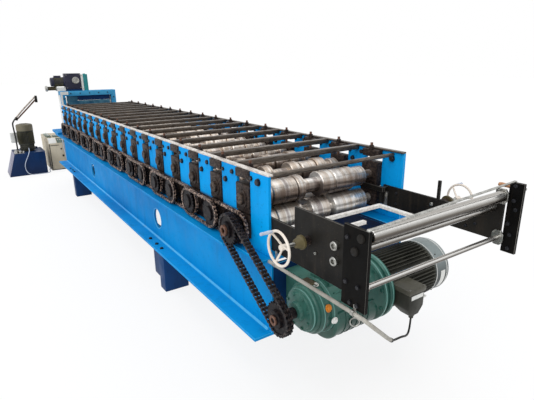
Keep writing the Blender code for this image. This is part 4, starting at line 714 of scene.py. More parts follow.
def conduit_tree():
    """Corrugated tube along a path: every second ring is smaller."""
    tree, start, end = new_tree("corrugated_conduit", (
        ("Ring step", "NodeSocketFloat"), ("Radius", "NodeSocketFloat"), ("Groove", "NodeSocketFloat"),
        ("Finish", "NodeSocketMaterial")))
    curve = tree.nodes.new("GeometryNodeMeshToCurve")
    spaced = tree.nodes.new("GeometryNodeResampleCurve")
    spaced.mode = "LENGTH"
    index = tree.nodes.new("GeometryNodeInputIndex")
    odd = tree.nodes.new("ShaderNodeMath")
    odd.operation = "MODULO"
    odd.inputs[1].default_value = 2.0
    depth = tree.nodes.new("ShaderNodeMath")
    depth.operation = "MULTIPLY"
    radius = tree.nodes.new("ShaderNodeMath")
    radius.operation = "SUBTRACT"
    thick = tree.nodes.new("GeometryNodeSetCurveRadius")
    circle = tree.nodes.new("GeometryNodeCurvePrimitiveCircle")
    circle.inputs["Resolution"].default_value = 14
    circle.inputs["Radius"].default_value = 1.0
    mesh = tree.nodes.new("GeometryNodeCurveToMesh")
    mesh.inputs["Fill Caps"].default_value = True
    wire(tree, start, "Geometry", curve, "Mesh")
    wire(tree, curve, "Curve", spaced, "Curve")
    wire(tree, start, "Ring step", spaced, "Length")
    wire(tree, index, "Index", odd, 0)
    wire(tree, odd, "Value", depth, 0)
    wire(tree, start, "Groove", depth, 1)
    wire(tree, start, "Radius", radius, 0)
    wire(tree, depth, "Value", radius, 1)
    wire(tree, spaced, "Curve", thick, "Curve")
    wire(tree, radius, "Value", thick, "Radius")
    wire(tree, thick, "Curve", mesh, "Curve")
    wire(tree, circle, "Curve", mesh, "Profile Curve")
    if "Scale" in mesh.inputs:
        wire(tree, radius, "Value", mesh, "Scale")
    close_tree(tree, start, end, mesh.outputs["Mesh"])
    return tree


def hidden_source(name, bm):
    """A piece that only serves a tree, removed once the tree has run."""
    bmesh.ops.recalc_face_normals(bm, faces=bm.faces)
    mesh = bpy.data.meshes.new(name)
    bm.to_mesh(mesh)
    bm.free()
    source = bpy.data.objects.new(name, mesh)
    bpy.context.scene.collection.objects.link(source)
    return source


def run_tree(tree, carrier_mesh, **values):
    """Mesh that a tree makes from a carrier; the values are the tree's named inputs."""
    carrier = bpy.data.objects.new("carrier", carrier_mesh)
    bpy.context.scene.collection.objects.link(carrier)
    modifier = carrier.modifiers.new("tree", "NODES")
    modifier.node_group = tree
    for item in tree.interface.items_tree:
        key = item.name.replace(" ", "_")
        if item.item_type == "SOCKET" and item.in_out == "INPUT" and key in values:
            modifier[item.identifier] = values[key]
    graph = bpy.context.evaluated_depsgraph_get()
    mesh = bpy.data.meshes.new_from_object(carrier.evaluated_get(graph))
    carrier.modifiers.remove(modifier)
    bpy.data.objects.remove(carrier)
    mesh.materials.clear()
    mesh.materials.append(values["Finish"])
    return mesh


def copies_of(bm, tree, carrier_mesh, **values):
    """Mesh of the copies of one piece that a tree sets on a carrier."""
    source = hidden_source("copied_piece", bm)
    mesh = run_tree(tree, carrier_mesh, Piece=source, **values)
    bpy.data.objects.remove(source)
    return mesh


def path_mesh(points, closed=False):
    """Mesh of edges through points."""
    mesh = bpy.data.meshes.new("path")
    edges = [(step, step + 1) for step in range(len(points) - 1)]
    if closed:
        edges.append((len(points) - 1, 0))
    mesh.from_pydata([tuple(p) for p in points], edges, [])
    return mesh


def point_mesh(places):
    """Points of (place, axis, size) for the scatter tree."""
    mesh = bpy.data.meshes.new("points")
    mesh.from_pydata([place for place, axis, size in places], [], [])
    mesh.attributes.new("axis", "FLOAT_VECTOR", "POINT")
    mesh.attributes.new("size", "FLOAT", "POINT")
    for step, (place, axis, size) in enumerate(places):
        mesh.attributes["axis"].data[step].vector = axis
        mesh.attributes["size"].data[step].value = size
    return mesh


def merged(meshes):
    """One bmesh of several meshes, which are then dropped."""
    bm = bmesh.new()
    for mesh in meshes:
        bm.from_mesh(mesh)
        bpy.data.meshes.remove(mesh)
    return bm


M = make_materials()
ROW = row_tree()
SPUN = spun_tree()
SCATTER = scatter_tree()
CHAIN = chain_tree()
CONDUIT = conduit_tree()


def row_of(name, bm, count, material, stands_for=()):
    """Row of copies, one stand pitch apart towards the cutter."""
    mesh = copies_of(bm, ROW, path_mesh([(0, 0, 0)]), Count=count, Step=(-PITCH, 0.0, 0.0), Finish=material)
    return place_piece(name, mesh, [], stands_for=stands_for)


def spun(bm, count, centre, material):
    """Mesh of copies turned evenly about an axis along Y."""
    return copies_of(bm, SPUN, path_mesh([(0, 0, 0)]), Count=count, Turn=2 * math.pi / count, Centre=centre,
                     Finish=material)


def fasteners(name, places, kind, material):
    """Bolts, nuts or studs set on their places by the scatter tree."""
    bm = bmesh.new()
    kind(bm)
    return place_piece(name, copies_of(bm, SCATTER, point_mesh(places), Finish=material), [])


def hex_bolt(bm):
    """Unit bolt head, 1 across its corners, on a washer."""
    add_turned(bm, [(0.0, 0.56), (0.10, 0.56)], 18, axis="Z")
    add_turned(bm, [(0.10, 0.5), (0.38, 0.5), (0.44, 0.42)], 6, axis="Z")


def socket_bolt(bm):
    """Unit cap screw with its socket."""
    add_turned(bm, [(0.0, 0.5), (0.42, 0.5), (0.5, 0.44), (0.5, 0.27), (0.2, 0.24)], 16, axis="Z")


def cad_mesh(node):
    """Merged copy of a node's mesh, with its flat faces made whole."""
    bm = bmesh.new()
    bm.from_mesh(frame["nodes"][node].data)
    bmesh.ops.remove_doubles(bm, verts=bm.verts, dist=MERGED_BELOW)
    bmesh.ops.dissolve_limit(bm, angle_limit=math.radians(1.0), verts=bm.verts, edges=bm.edges)
    for layer in list(bm.loops.layers.uv):
        bm.loops.layers.uv.remove(layer)
    return bm


def painted_node(node, width, materials, segments=1, shaded=None, inner_y=math.inf):
    """A node's own shape with softened edges in a rubbed finish, where the edge finish is the light blue also a
    painted highlight; faces turned one way may have their own finish, such as the far beam's painted shade, up to a
    width.
    """
    bm = cad_mesh(node)
    bm.normal_update()
    for face in bm.faces:
        turned = shaded and face.normal.dot(Vector(shaded)) > 0.6
        face.material_index = 2 if turned and face.calc_center_median().y < inner_y else 0
    soften(bm, width, segments, 1)
    return piece_from(f"{node}_painted", bm, materials, frame["nodes"][node]["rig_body"], (node,))


def make_camera():
    """The photograph's view."""
    yaw, pitch, roll = (math.radians(v) for v in (CAMERA_YAW, CAMERA_PITCH, CAMERA_ROLL))
    forward = Vector((-math.cos(yaw) * math.cos(pitch), math.sin(yaw) * math.cos(pitch), -math.sin(pitch)))
    right = Vector((math.sin(yaw), math.cos(yaw), 0.0))
    up = right.cross(forward)
    turned_right = right * math.cos(roll) + up * math.sin(roll)
    turned_up = up * math.cos(roll) - right * math.sin(roll)
    data = bpy.data.cameras.new("photo_view")
    data.lens = CAMERA_LENS
    data.sensor_width = SENSOR_WIDTH
    data.clip_end = 200.0
    camera = bpy.data.objects.new("photo_view", data)
    rotation = Matrix((turned_right, turned_up, -forward)).transposed().to_4x4()
    camera.matrix_world = Matrix.Translation(CAMERA_PLACE) @ rotation
    bpy.context.scene.collection.objects.link(camera)
    bpy.context.scene.camera = camera


def pale_for_camera(tree, surface, strength, output, shader_input):
    """Camera, glossy and see-through rays meet a plain pale light instead of the surface."""
    path = tree.nodes.new("ShaderNodeLightPath")
    most = path.outputs["Is Camera Ray"]
    for name in ("Is Glossy Ray", "Is Transmission Ray"):
        node = tree.nodes.new("ShaderNodeMath")
        node.operation = "MAXIMUM"
        tree.links.new(most, node.inputs[0])
        tree.links.new(path.outputs[name], node.inputs[1])
        most = node.outputs["Value"]
    mix = tree.nodes.new("ShaderNodeMixShader")
    tree.links.new(most, mix.inputs["Fac"])
    tree.links.new(surface, mix.inputs[1])
    tree.links.new(strength, mix.inputs[2])
    tree.links.new(mix.outputs["Shader"], output.inputs[shader_input])


def make_stage():
    """Pale floor, pale world and soft lamps at a plain level."""
    bm = bmesh.new()
    bmesh.ops.create_grid(bm, x_segments=1, y_segments=1, size=60.0)
    mesh = bpy.data.meshes.new("pale_floor")
    bm.to_mesh(mesh)
    bm.free()
    floor = bpy.data.objects.new("pale_floor", mesh)
    bpy.context.scene.collection.objects.link(floor)
    material = bpy.data.materials.new("pale_floor")
    material.use_nodes = True
    shader = material.node_tree.nodes["Principled BSDF"]
    shader.inputs["Base Color"].default_value = (0.93, 0.93, 0.93, 1.0)
    shader.inputs["Roughness"].default_value = 0.9
    shader.inputs["Specular IOR Level"].default_value = 0.0
    tree = material.node_tree
    output = tree.nodes["Material Output"]
    glow = tree.nodes.new("ShaderNodeEmission")
    lifted = tree.nodes.new("ShaderNodeMixShader")
    lifted.inputs["Fac"].default_value = 0.82
    wire(tree, shader, "BSDF", lifted, 1)
    wire(tree, glow, "Emission", lifted, 2)
    pale_for_camera(tree, shader.outputs["BSDF"], lifted.outputs["Shader"], output, "Surface")
    mesh.materials.append(material)

    world = bpy.data.worlds.new("pale_studio")
    world.use_nodes = True
    bpy.context.scene.world = world
    tree = world.node_tree
    tree.nodes.clear()
    output = tree.nodes.new("ShaderNodeOutputWorld")
    lit = tree.nodes.new("ShaderNodeBackground")
    lit.inputs["Color"].default_value = (0.97, 0.98, 1.0, 1.0)
    lit.inputs["Strength"].default_value = 0.72
    seen = tree.nodes.new("ShaderNodeBackground")
    seen.inputs["Color"].default_value = (1.0, 1.0, 1.0, 1.0)
    seen.inputs["Strength"].default_value = 1.0
    pale_for_camera(tree, lit.outputs["Background"], seen.outputs["Background"], output, "Surface")

    for name, toward, width, power in (("side_sun", (-0.25, 0.80, -0.62), 50.0, 1.05),
                                       ("top_sun", (0.20, -0.10, -1.0), 70.0, 0.75),
                                       ("glint_sun", (-0.45, 0.30, -1.0), 9.0, 0.22)):
        data = bpy.data.lights.new(name, "SUN")
        data.angle = math.radians(width)
        data.energy = power
        lamp = bpy.data.objects.new(name, data)
        lamp.rotation_mode = "QUATERNION"
        lamp.rotation_quaternion = Vector(toward).to_track_quat("-Z", "Y")
        bpy.context.scene.collection.objects.link(lamp)
    bpy.context.scene.view_settings.view_transform = "Standard"


make_camera()
make_stage()


def post_x(index):
    """Middle of a post, counted from the entry."""
    return FRONT_POST_X - PITCH * index


def make_structure():
    """Beams, sleepers, cross members and the slotted side frames, with their seams and bolts."""
    blue = [M["blue"], M["blue_edge"]]
    painted_node("near_beam", 0.003, blue)
    # far beam: inner faces turned to the near side and up take navy, a painted shade
    low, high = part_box("far_beam")
    painted_node("far_beam", 0.003, blue + [M["navy"]], 1, (0.0, -0.7, 0.7), (low.y + high.y) / 2)
    # cross members in navy: painted shade
    for node in ("front_crossmember", "rear_crossmember"):
        painted_node(node, 0.003, [M["navy"], M["blue_edge"]])
    # near side frame: below the chains, grease and painted shade
    painted_node("near_side_frame", 0.0025, [M["greased_blue"], M["greased_blue"]])
    painted_node("far_side_frame", 0.0025, [M["post_blue"], M["blue_edge"]])
    # sleepers in navy: painted shade
    for node in ("front_sleeper", "rear_sleeper"):
        painted_node(node, 0.005, [M["navy"], M["navy"]], 2)
    # weld seams and hole rims in the light edge blue: a painted highlight
    for word in ("near", "far"):
        low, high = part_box(f"{word}_beam")
        web_y = (low.y + high.y) / 2
        bm = bmesh.new()
        for hole_x in LIFT_HOLES_X:
            for face in (-1, 1):
                start, end = sorted((web_y + face * 0.0071, web_y + face * 0.011))
                add_ring(bm, 0.104, 0.0955, start, end, 40, (hole_x, 0.0, 0.60))
        leg = 0.012
        for face in (-1, 1):
            for z, up in ((low.z + 0.02, 1), (high.z - 0.02, -1)):
                side = web_y + face * 0.0072
                outline = [(side, z), (side + face * leg, z), (side, z + up * leg)]
                add_prism(bm, outline, low.x + 0.02, high.x - 0.04, "X")
        piece_from(f"{word}_beam_seams", bm, [M["blue_edge"]])
    places = []
    for index in range(STANDS + 1):
        x = post_x(index)
        for y, out in ((-FACE_Y, -1), (FACE_Y, 1), (INNER_Y, -1), (-INNER_Y, 1)):
            spots = [(0.045, 1.352, 0.030), (-0.078, 1.348, 0.026), (-0.045, 1.286, 0.036)]
            if index == 0:
                spots = [(-0.005, 1.344, 0.042), (-0.085, 1.352, 0.028)]
            for dx, z, size in spots:
                places.append(((x + dx, y, z), (0.0, out, 0.0), size))
    for sleeper_x in SLEEPERS_X:
        for dx in (-0.1, 0.07, 0.20):
            for side in (-1, 1):
                places.append(((sleeper_x + dx, side * 0.665, 0.394), UP, 0.030))
    fasteners("frame_bolts", places, hex_bolt, M["bolt"])


def make_top():
    """Strips and tie bars across the top, caps, jack screws with their nuts."""
    low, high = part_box("top_tie_bars")
    for side in (-1, 1):
        start, end = sorted((side * FACE_Y, side * 0.554))
        bm = bmesh.new()
        add_box(bm, (low.x, start, high.z - 0.012), (high.x, end, high.z))
        soften(bm, 0.002)
        word, finish = ("near", "strip") if side < 0 else ("far", "ties")
        piece_from(f"{word}_top_strip", bm, [M[finish]])
    bm = bmesh.new()
    add_box(bm, (post_x(1) - 0.021, -0.5695, 1.366), (post_x(1) + 0.021, 0.5695, 1.4035))
    soften(bm, 0.004, 2)
    row_of("tie_bars", bm, STANDS, M["ties"], ("top_tie_bars",))
    bm = bmesh.new()
    for side in (-1, 1):
        start, end = sorted((side * 0.602, side * 0.522))
        add_box(bm, (FIRST_STAND_X - BLOCK_HALF, start, 1.338), (FIRST_STAND_X + BLOCK_HALF, end, 1.392))
    soften(bm, 0.004, 2)
    row_of("slot_caps", bm, STANDS, M["blocks"])
    bm = bmesh.new()
    for side in (-1, 1):
        centre = (FIRST_STAND_X, side * SCREW_Y, 0.0)
        turns = [(1.26, 0.0105)]
        for step in range(44):
            turns.append((1.27 + 0.004 * step, 0.0112 if step % 2 else 0.0095))
        add_turned(bm, turns, 12, centre, "Z")
    row_of("jack_screws", bm, STANDS, M["rust"])
    bm = bmesh.new()
    for side in (-1, 1):
        centre = (FIRST_STAND_X, side * SCREW_Y, 0.0)
        add_turned(bm, [(1.4065, 0.017), (1.408, 0.019), (1.420, 0.019), (1.422, 0.017)], 6, centre, "Z")
        add_turned(bm, [(1.393, 0.022), (1.4062, 0.022)], 20, centre, "Z")
    row_of("jack_nuts", bm, STANDS, M["blocks"])


UPPER_RINGS = [(-0.40, -0.27, 0.080), (-0.225, -0.155, 0.090), (0.01, 0.09, 0.090), (0.12, 0.252, 0.080),
               (0.255, 0.345, 0.092), (0.42, 0.49, 0.07)]
LOWER_RINGS = [(-0.49, -0.245, 0.100), (-0.14, -0.01, 0.098), (0.10, 0.245, 0.100), (0.36, 0.50, 0.096)]
FIRST_UPPER = [(-0.50, -0.417, 0.083), (-0.413, -0.217, 0.085), (-0.213, -0.155, 0.090), (-0.005, 0.112, 0.088),
               (0.118, 0.300, 0.085), (0.303, 0.425, 0.074)]
FIRST_LOWER = [(-0.50, -0.388, 0.099), (-0.384, -0.17, 0.099), (-0.09, 0.065, 0.094), (0.11, 0.30, 0.098),
               (0.305, 0.43, 0.088)]
CHAMFER = 0.005


def roll_steps(rings, start, end, sleeve):
    """Profile of a shaft with chamfered rings and a sleeve between them."""
    steps = [(start, SHAFT_RADIUS - 0.003), (start + 0.003, SHAFT_RADIUS)]
    first, last = rings[0][0], rings[-1][1]
    steps += [(first - 0.02, SHAFT_RADIUS), (first - 0.02, sleeve)]
    for low, high, radius in rings:
        steps += [(low, sleeve), (low, radius - CHAMFER), (low + CHAMFER, radius),
                  (high - CHAMFER, radius), (high, radius - CHAMFER), (high, sleeve)]
    return steps + [(last + 0.02, sleeve), (last + 0.02, SHAFT_RADIUS), (end - 0.003, SHAFT_RADIUS),
                    (end, SHAFT_RADIUS - 0.003)]


def make_rolls():
    """Shafts with their rolls, bearing blocks and collars."""
    stands = [f"forming_stand_{number + 1:02d}" for number in range(STANDS)]
    second_x = FIRST_STAND_X - PITCH
    for name, rings, z, sleeve, nodes in (("upper_rolls", UPPER_RINGS, UPPER_Z, 0.05, stands[1:]),
                                          ("lower_rolls", LOWER_RINGS, LOWER_Z, 0.052, ())):
        bm = bmesh.new()
        add_turned(bm, roll_steps(rings, -0.622, 0.622, sleeve), ROLL_SIDES, (second_x, 0.0, z))
        finish = M[f"{name.split('_')[0]}_old_rolls"]
        row_of(name, bm, STANDS - 1, finish, nodes)
    for name, rings, z, start, nodes in (("first_upper_roll", FIRST_UPPER, UPPER_Z, -0.622, stands[:1]),
                                         ("first_lower_roll", FIRST_LOWER, LOWER_Z, -0.735, ())):
        bm = bmesh.new()
        add_turned(bm, roll_steps(rings, start, 0.622, 0.05), 64, (FIRST_STAND_X, 0.0, z))
        piece_from(name, bm, [M[f"{name.split('_')[1]}_rolls"]], stands_for=nodes)
    bm = bmesh.new()
    for side in (-1, 1):
        start, end = sorted((side * 0.601, side * 0.522))
        for low, high in ((SLOT_FLOOR_Z + 0.0004, 1.108), (1.118, 1.300)):
            add_box(bm, (FIRST_STAND_X - BLOCK_HALF, start, low), (FIRST_STAND_X + BLOCK_HALF, end, high))
    soften(bm, 0.005, 2)
    for side in (-1, 1):
        for z in (LOWER_Z, UPPER_Z):
            start, end = sorted((side * 0.600, side * 0.608))
            add_ring(bm, 0.060, SHAFT_RADIUS + 0.004, start, end, 32, (FIRST_STAND_X, 0.0, z))
    row_of("bearing_blocks", bm, STANDS, M["blocks"])
    bm = bmesh.new()
    for side in (-1, 1):
        collar = [(0.604, 0.038), (0.6235, 0.038), (0.6262, 0.034), (0.6262, 0.020), (0.6240, 0.018)]
        add_turned(bm, [(side * along, size) for along, size in collar], 32, (FIRST_STAND_X, 0.0, UPPER_Z))
    row_of("shaft_collars", bm, STANDS, M["collars"])


def link_outline(half_pitch, height):
    """Waisted plate round two pins."""
    outline = []
    for centre, start in ((half_pitch, -90), (-half_pitch, 90)):
        for step in range(5):
            angle = math.radians(start + 45 * step)
            outline.append((centre + height / 2 * math.cos(angle), height / 2 * math.sin(angle)))
        waist = height / 2 * 0.62
        outline.append((0.0, waist if start < 0 else -waist))
    return outline


def link_source(name, pitch, rows, outer):
    """Outer link: two plates on two pins. Inner link: two plates on two rollers."""
    bm = bmesh.new()
    for row in rows:
        near, far = (0.0072, 0.0094) if outer else (0.0046, 0.0068)
        for side in (-1, 1):
            start, end = sorted((row + side * near, row + side * far))
            add_prism(bm, link_outline(pitch / 2, LINK_HEIGHT), start, end)
        for end_x in (-pitch / 2, pitch / 2):
            if outer:
                add_turned(bm, [(row - 0.0108, 0.0032), (row + 0.0108, 0.0032)], 6, (end_x, 0.0, 0.0))
            else:
                add_turned(bm, [(row - 0.0046, 0.0078), (row + 0.0046, 0.0078)], 8, (end_x, 0.0, 0.0))
    return hidden_source(name, bm)


def loop_path(start, end, y, radius):
    """Path round two wheels in the XZ plane."""
    lean = math.atan2(end[1] - start[1], end[0] - start[0])
    points = []
    for centre, turn in ((end, -math.pi / 2), (start, math.pi / 2)):
        for step in range(TURN_STEPS + 1):
            angle = lean + turn + math.pi * step / TURN_STEPS
            points.append((centre[0] + radius * math.cos(angle), y, centre[1] + radius * math.sin(angle)))
    return points


def make_chains():
    """Transfer chains from stand to stand and the double chain to the reducer."""
    pitch = (2 * PITCH + 2 * math.pi * CHAIN_RADIUS) / TRANSFER_LINKS
    outer = link_source("outer_link", pitch, (0.0,), True)
    inner = link_source("inner_link", pitch, (0.0,), False)
    loops = []
    for index in range(STANDS - 1):
        x = FIRST_STAND_X - PITCH * index
        y = SECOND_ROW_Y if index % 2 else FIRST_ROW_Y
        path = path_mesh(loop_path((x - PITCH, LOWER_Z), (x, LOWER_Z), y, CHAIN_RADIUS), True)
        loops.append(run_tree(CHAIN, path, Outer_link=outer, Inner_link=inner, Links=TRANSFER_LINKS,
                              Finish=M["chain"]))
    half = len(loops) // 2
    for name, part in (("front_transfer_chains", loops[:half]), ("rear_transfer_chains", loops[half:])):
        piece_from(name, merged(part), [M["chain"]])
    for source in (outer, inner):
        bpy.data.objects.remove(source)
    start, end = (FIRST_STAND_X, LOWER_Z), (DRIVE_X, DRIVE_Z)
    length = 2 * math.dist(start, end) + 2 * math.pi * CHAIN_RADIUS
    rows = (-DRIVE_ROW_STEP / 2, DRIVE_ROW_STEP / 2)
    outer = link_source("outer_double_link", length / DRIVE_LINKS, rows, True)
    inner = link_source("inner_double_link", length / DRIVE_LINKS, rows, False)
    path = path_mesh(loop_path(start, end, DRIVE_ROW_Y, CHAIN_RADIUS), True)
    mesh = run_tree(CHAIN, path, Outer_link=outer, Inner_link=inner, Links=DRIVE_LINKS,
                    Finish=M["drive_chain"])
    place_piece("drive_roller_chain", mesh, [], stands_for=("drive_chain",))
    for source in (outer, inner):
        bpy.data.objects.remove(source)


def add_sprocket(bm, centre, y):
    """One toothed row about a centre (x, z)."""
    outline = toothed_outline(TEETH, CHAIN_RADIUS - 0.0082, CHAIN_RADIUS + 0.0055)
    add_prism(bm, [(centre[0] + a, centre[1] + b) for a, b in outline], y - SPROCKET_HALF, y + SPROCKET_HALF)


def make_sprockets():
    """Sprockets of every stand, and the two of the drive."""
    bm = bmesh.new()
    for row in (FIRST_ROW_Y, SECOND_ROW_Y):
        add_sprocket(bm, (FIRST_STAND_X, LOWER_Z), row)
    add_turned(bm, [(-0.676, 0.050), (-0.673, 0.054), (-0.616, 0.054)], 28, (FIRST_STAND_X, 0.0, LOWER_Z))
    row_of("shaft_sprockets", bm, STANDS, M["sprocket"])
    bm = bmesh.new()
    for centre in ((FIRST_STAND_X, LOWER_Z), (DRIVE_X, DRIVE_Z)):
        for row in (-DRIVE_ROW_STEP / 2, DRIVE_ROW_STEP / 2):
            add_sprocket(bm, centre, DRIVE_ROW_Y + row)
        add_turned(bm, [(-0.735, 0.050), (-0.732, 0.054), (-0.66, 0.054)], 32, (centre[0], 0.0, centre[1]))
    add_turned(bm, [(-0.74, 0.030), (-0.56, 0.034)], 24, (DRIVE_X, 0.0, DRIVE_Z))
    piece_from("drive_sprockets", bm, [M["sprocket"]], stands_for=("drive_sprocket",))
    bm = bmesh.new()
    add_ring(bm, 0.036, 0.020, -0.748, -0.735, 32, (FIRST_STAND_X, 0.0, LOWER_Z))
    add_ring(bm, 0.030, 0.016, -0.746, -0.739, 32, (DRIVE_X, 0.0, DRIVE_Z))
    piece_from("sprocket_hub_faces", bm, [M["rust"]])


REDUCER_STEPS = (
    (-0.600, 0.038), (-0.598, 0.056), (-0.575, 0.060), (-0.572, 0.098), (-0.569, 0.108), (-0.558, 0.112),
    (-0.557, 0.121), (-0.550, 0.125), (-0.538, 0.125), (-0.536, 0.135), (-0.528, 0.141), (-0.518, 0.141),
    (-0.516, 0.149), (-0.508, 0.154), (-0.486, 0.154), (-0.484, 0.147), (-0.452, 0.147), (-0.450, 0.156),
    (-0.438, 0.161), (-0.424, 0.156), (-0.422, 0.148), (-0.130, 0.150), (-0.112, 0.158), (-0.092, 0.172),
    (-0.080, 0.198), (-0.078, 0.206), (-0.072, 0.210), (-0.056, 0.210), (-0.050, 0.205), (-0.048, 0.195),
    (-0.030, 0.195), (-0.028, 0.205), (-0.022, 0.210), (0.003, 0.210), (0.009, 0.205))


def around(angle, radius, y):
    """Place on the drive's axis circle, with the way outwards."""
    turn = math.radians(angle)
    out = Vector((math.cos(turn), 0.0, math.sin(turn)))
    return Vector((DRIVE_X, y, DRIVE_Z)) + out * radius, out


def fin_source(inner, outer, thick, start, end):
    """One radial fin along Y, on the origin's +X side."""
    bm = bmesh.new()
    add_prism(bm, [(inner, -thick / 2), (outer, -thick / 3), (outer, thick / 3), (inner, thick / 2)], start, end)
    return bm


def make_reducer():
    """Ribbed casting with its foot, bolted flanges, oil plugs, sight glass, lid and lifting eye."""
    bm = bmesh.new()
    add_turned(bm, REDUCER_STEPS, 72, (DRIVE_X, 0.0, DRIVE_Z))
    add_box(bm, (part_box("reducer")[0].x, -0.47, 0.52), (DRIVE_X - 0.05, -0.21, 0.80))
    add_box(bm, (DRIVE_X - 0.10, -0.40, DRIVE_Z + 0.10), (DRIVE_X + 0.07, -0.18, DRIVE_Z + 0.164))
    piece_from("reducer_casting", bm, [M["green"]], stands_for=("reducer",), angle=32.0)
    ribs = spun(fin_source(0.145, 0.160, 0.008, -0.400, -0.125), 16, (DRIVE_X, 0.0, DRIVE_Z), M["green"])
    piece_from("reducer_ribs", merged([ribs]), [M["green"]])
    bm = bmesh.new()
    for radius, start, end in ((0.1262, -0.552, -0.546), (0.1552, -0.502, -0.496), (0.1622, -0.440, -0.434),
                               (0.2110, -0.070, -0.062), (0.2110, -0.014, -0.006)):
        add_ring(bm, radius, radius - 0.004, start, end, 72, (DRIVE_X, 0.0, DRIVE_Z))
    piece_from("reducer_rims", bm, [M["green_rim"]])
    bm = bmesh.new()
    add_box(bm, (DRIVE_X - 0.095, -0.385, DRIVE_Z + 0.164), (DRIVE_X + 0.05, -0.195, DRIVE_Z + 0.170))
    add_box(bm, (DRIVE_X - 0.06, -0.50, DRIVE_Z + 0.150), (DRIVE_X + 0.03, -0.455, DRIVE_Z + 0.157))
    soften(bm, 0.002)
    piece_from("reducer_lid", bm, [M["olive"]])
    places = []
    for step in range(8):
        place = around(22.5 + 45 * step, 0.100, -0.5705)[0]
        places.append((tuple(place), TO_NEAR, 0.020))
    for step in range(10):
        place = around(18 + 36 * step, 0.190, -0.0785)[0]
        places.append((tuple(place), TO_NEAR, 0.026))
        place = around(18 + 36 * step, 0.172, 0.0285)[0]
        places.append((tuple(place), (0.0, 1.0, 0.0), 0.018))
    for dx in (-0.085, 0.04):
        for y in (-0.375, -0.205):
            places.append(((DRIVE_X + dx, y, DRIVE_Z + 0.170), UP, 0.014))
    fasteners("reducer_bolts", places, hex_bolt, M["green"])
    for name, angle, y, radius, size, finish in (("oil_plug", 20, -0.468, 0.147, 0.034, "amber"),
                                                 ("sight_glass", -9, -0.437, 0.160, 0.032, "white"),
                                                 ("drain_plug", -52, -0.40, 0.152, 0.026, "zinc"),
                                                 ("breather", 78, -0.468, 0.147, 0.028, "zinc")):
        place, out = around(angle, radius, y)
        bm = bmesh.new()
        add_turned(bm, [(0.0, 0.62), (0.10, 0.66), (0.22, 0.66), (0.30, 0.58), (0.30, 0.50)], 28, axis="Z")
        add_turned(bm, [(0.30, 0.44), (0.48, 0.44), (0.54, 0.36)], 6 if finish != "white" else 28, axis="Z")
        mesh = copies_of(bm, SCATTER, point_mesh([(tuple(place), tuple(out), size)]), Finish=M[finish])
        place_piece(name, mesh, [])
    bm = bmesh.new()
    add_turned(bm, [(-0.430, 0.122), (-0.427, 0.136), (-0.418, 0.144), (-0.400, 0.145), (-0.396, 0.141),
                    (-0.084, 0.141), (-0.080, 0.145), (-0.062, 0.144), (-0.053, 0.136), (-0.050, 0.122)], 64,
               (DRIVE_X + 0.022, 0.0, DRIVE_Z - SUMP_DROP))
    for step in range(5):
        y = -0.345 + 0.045 * step
        add_turned(bm, [(y - 0.0035, 0.1445), (y + 0.0035, 0.1445)], 64, (DRIVE_X + 0.022, 0.0, DRIVE_Z - SUMP_DROP))
    piece_from("reducer_sump", bm, [M["green"]], angle=32.0)
    way = Vector((0.6, 0.8, 0.0))
    centre = Vector((2.312, -0.300, 0.585))
    bm = bmesh.new()
    circle = [centre + (way * math.cos(a) + Vector(UP) * math.sin(a)) * 0.027
              for a in (2 * math.pi * step / 24 for step in range(24))]
    add_tube(bm, circle, 0.0048, 8, True)
    add_tube(bm, [Vector((2.268, -0.326, 0.585)), centre - way * 0.025], 0.0085, 10)
    piece_from("lifting_eye", bm, [M["zinc"]])


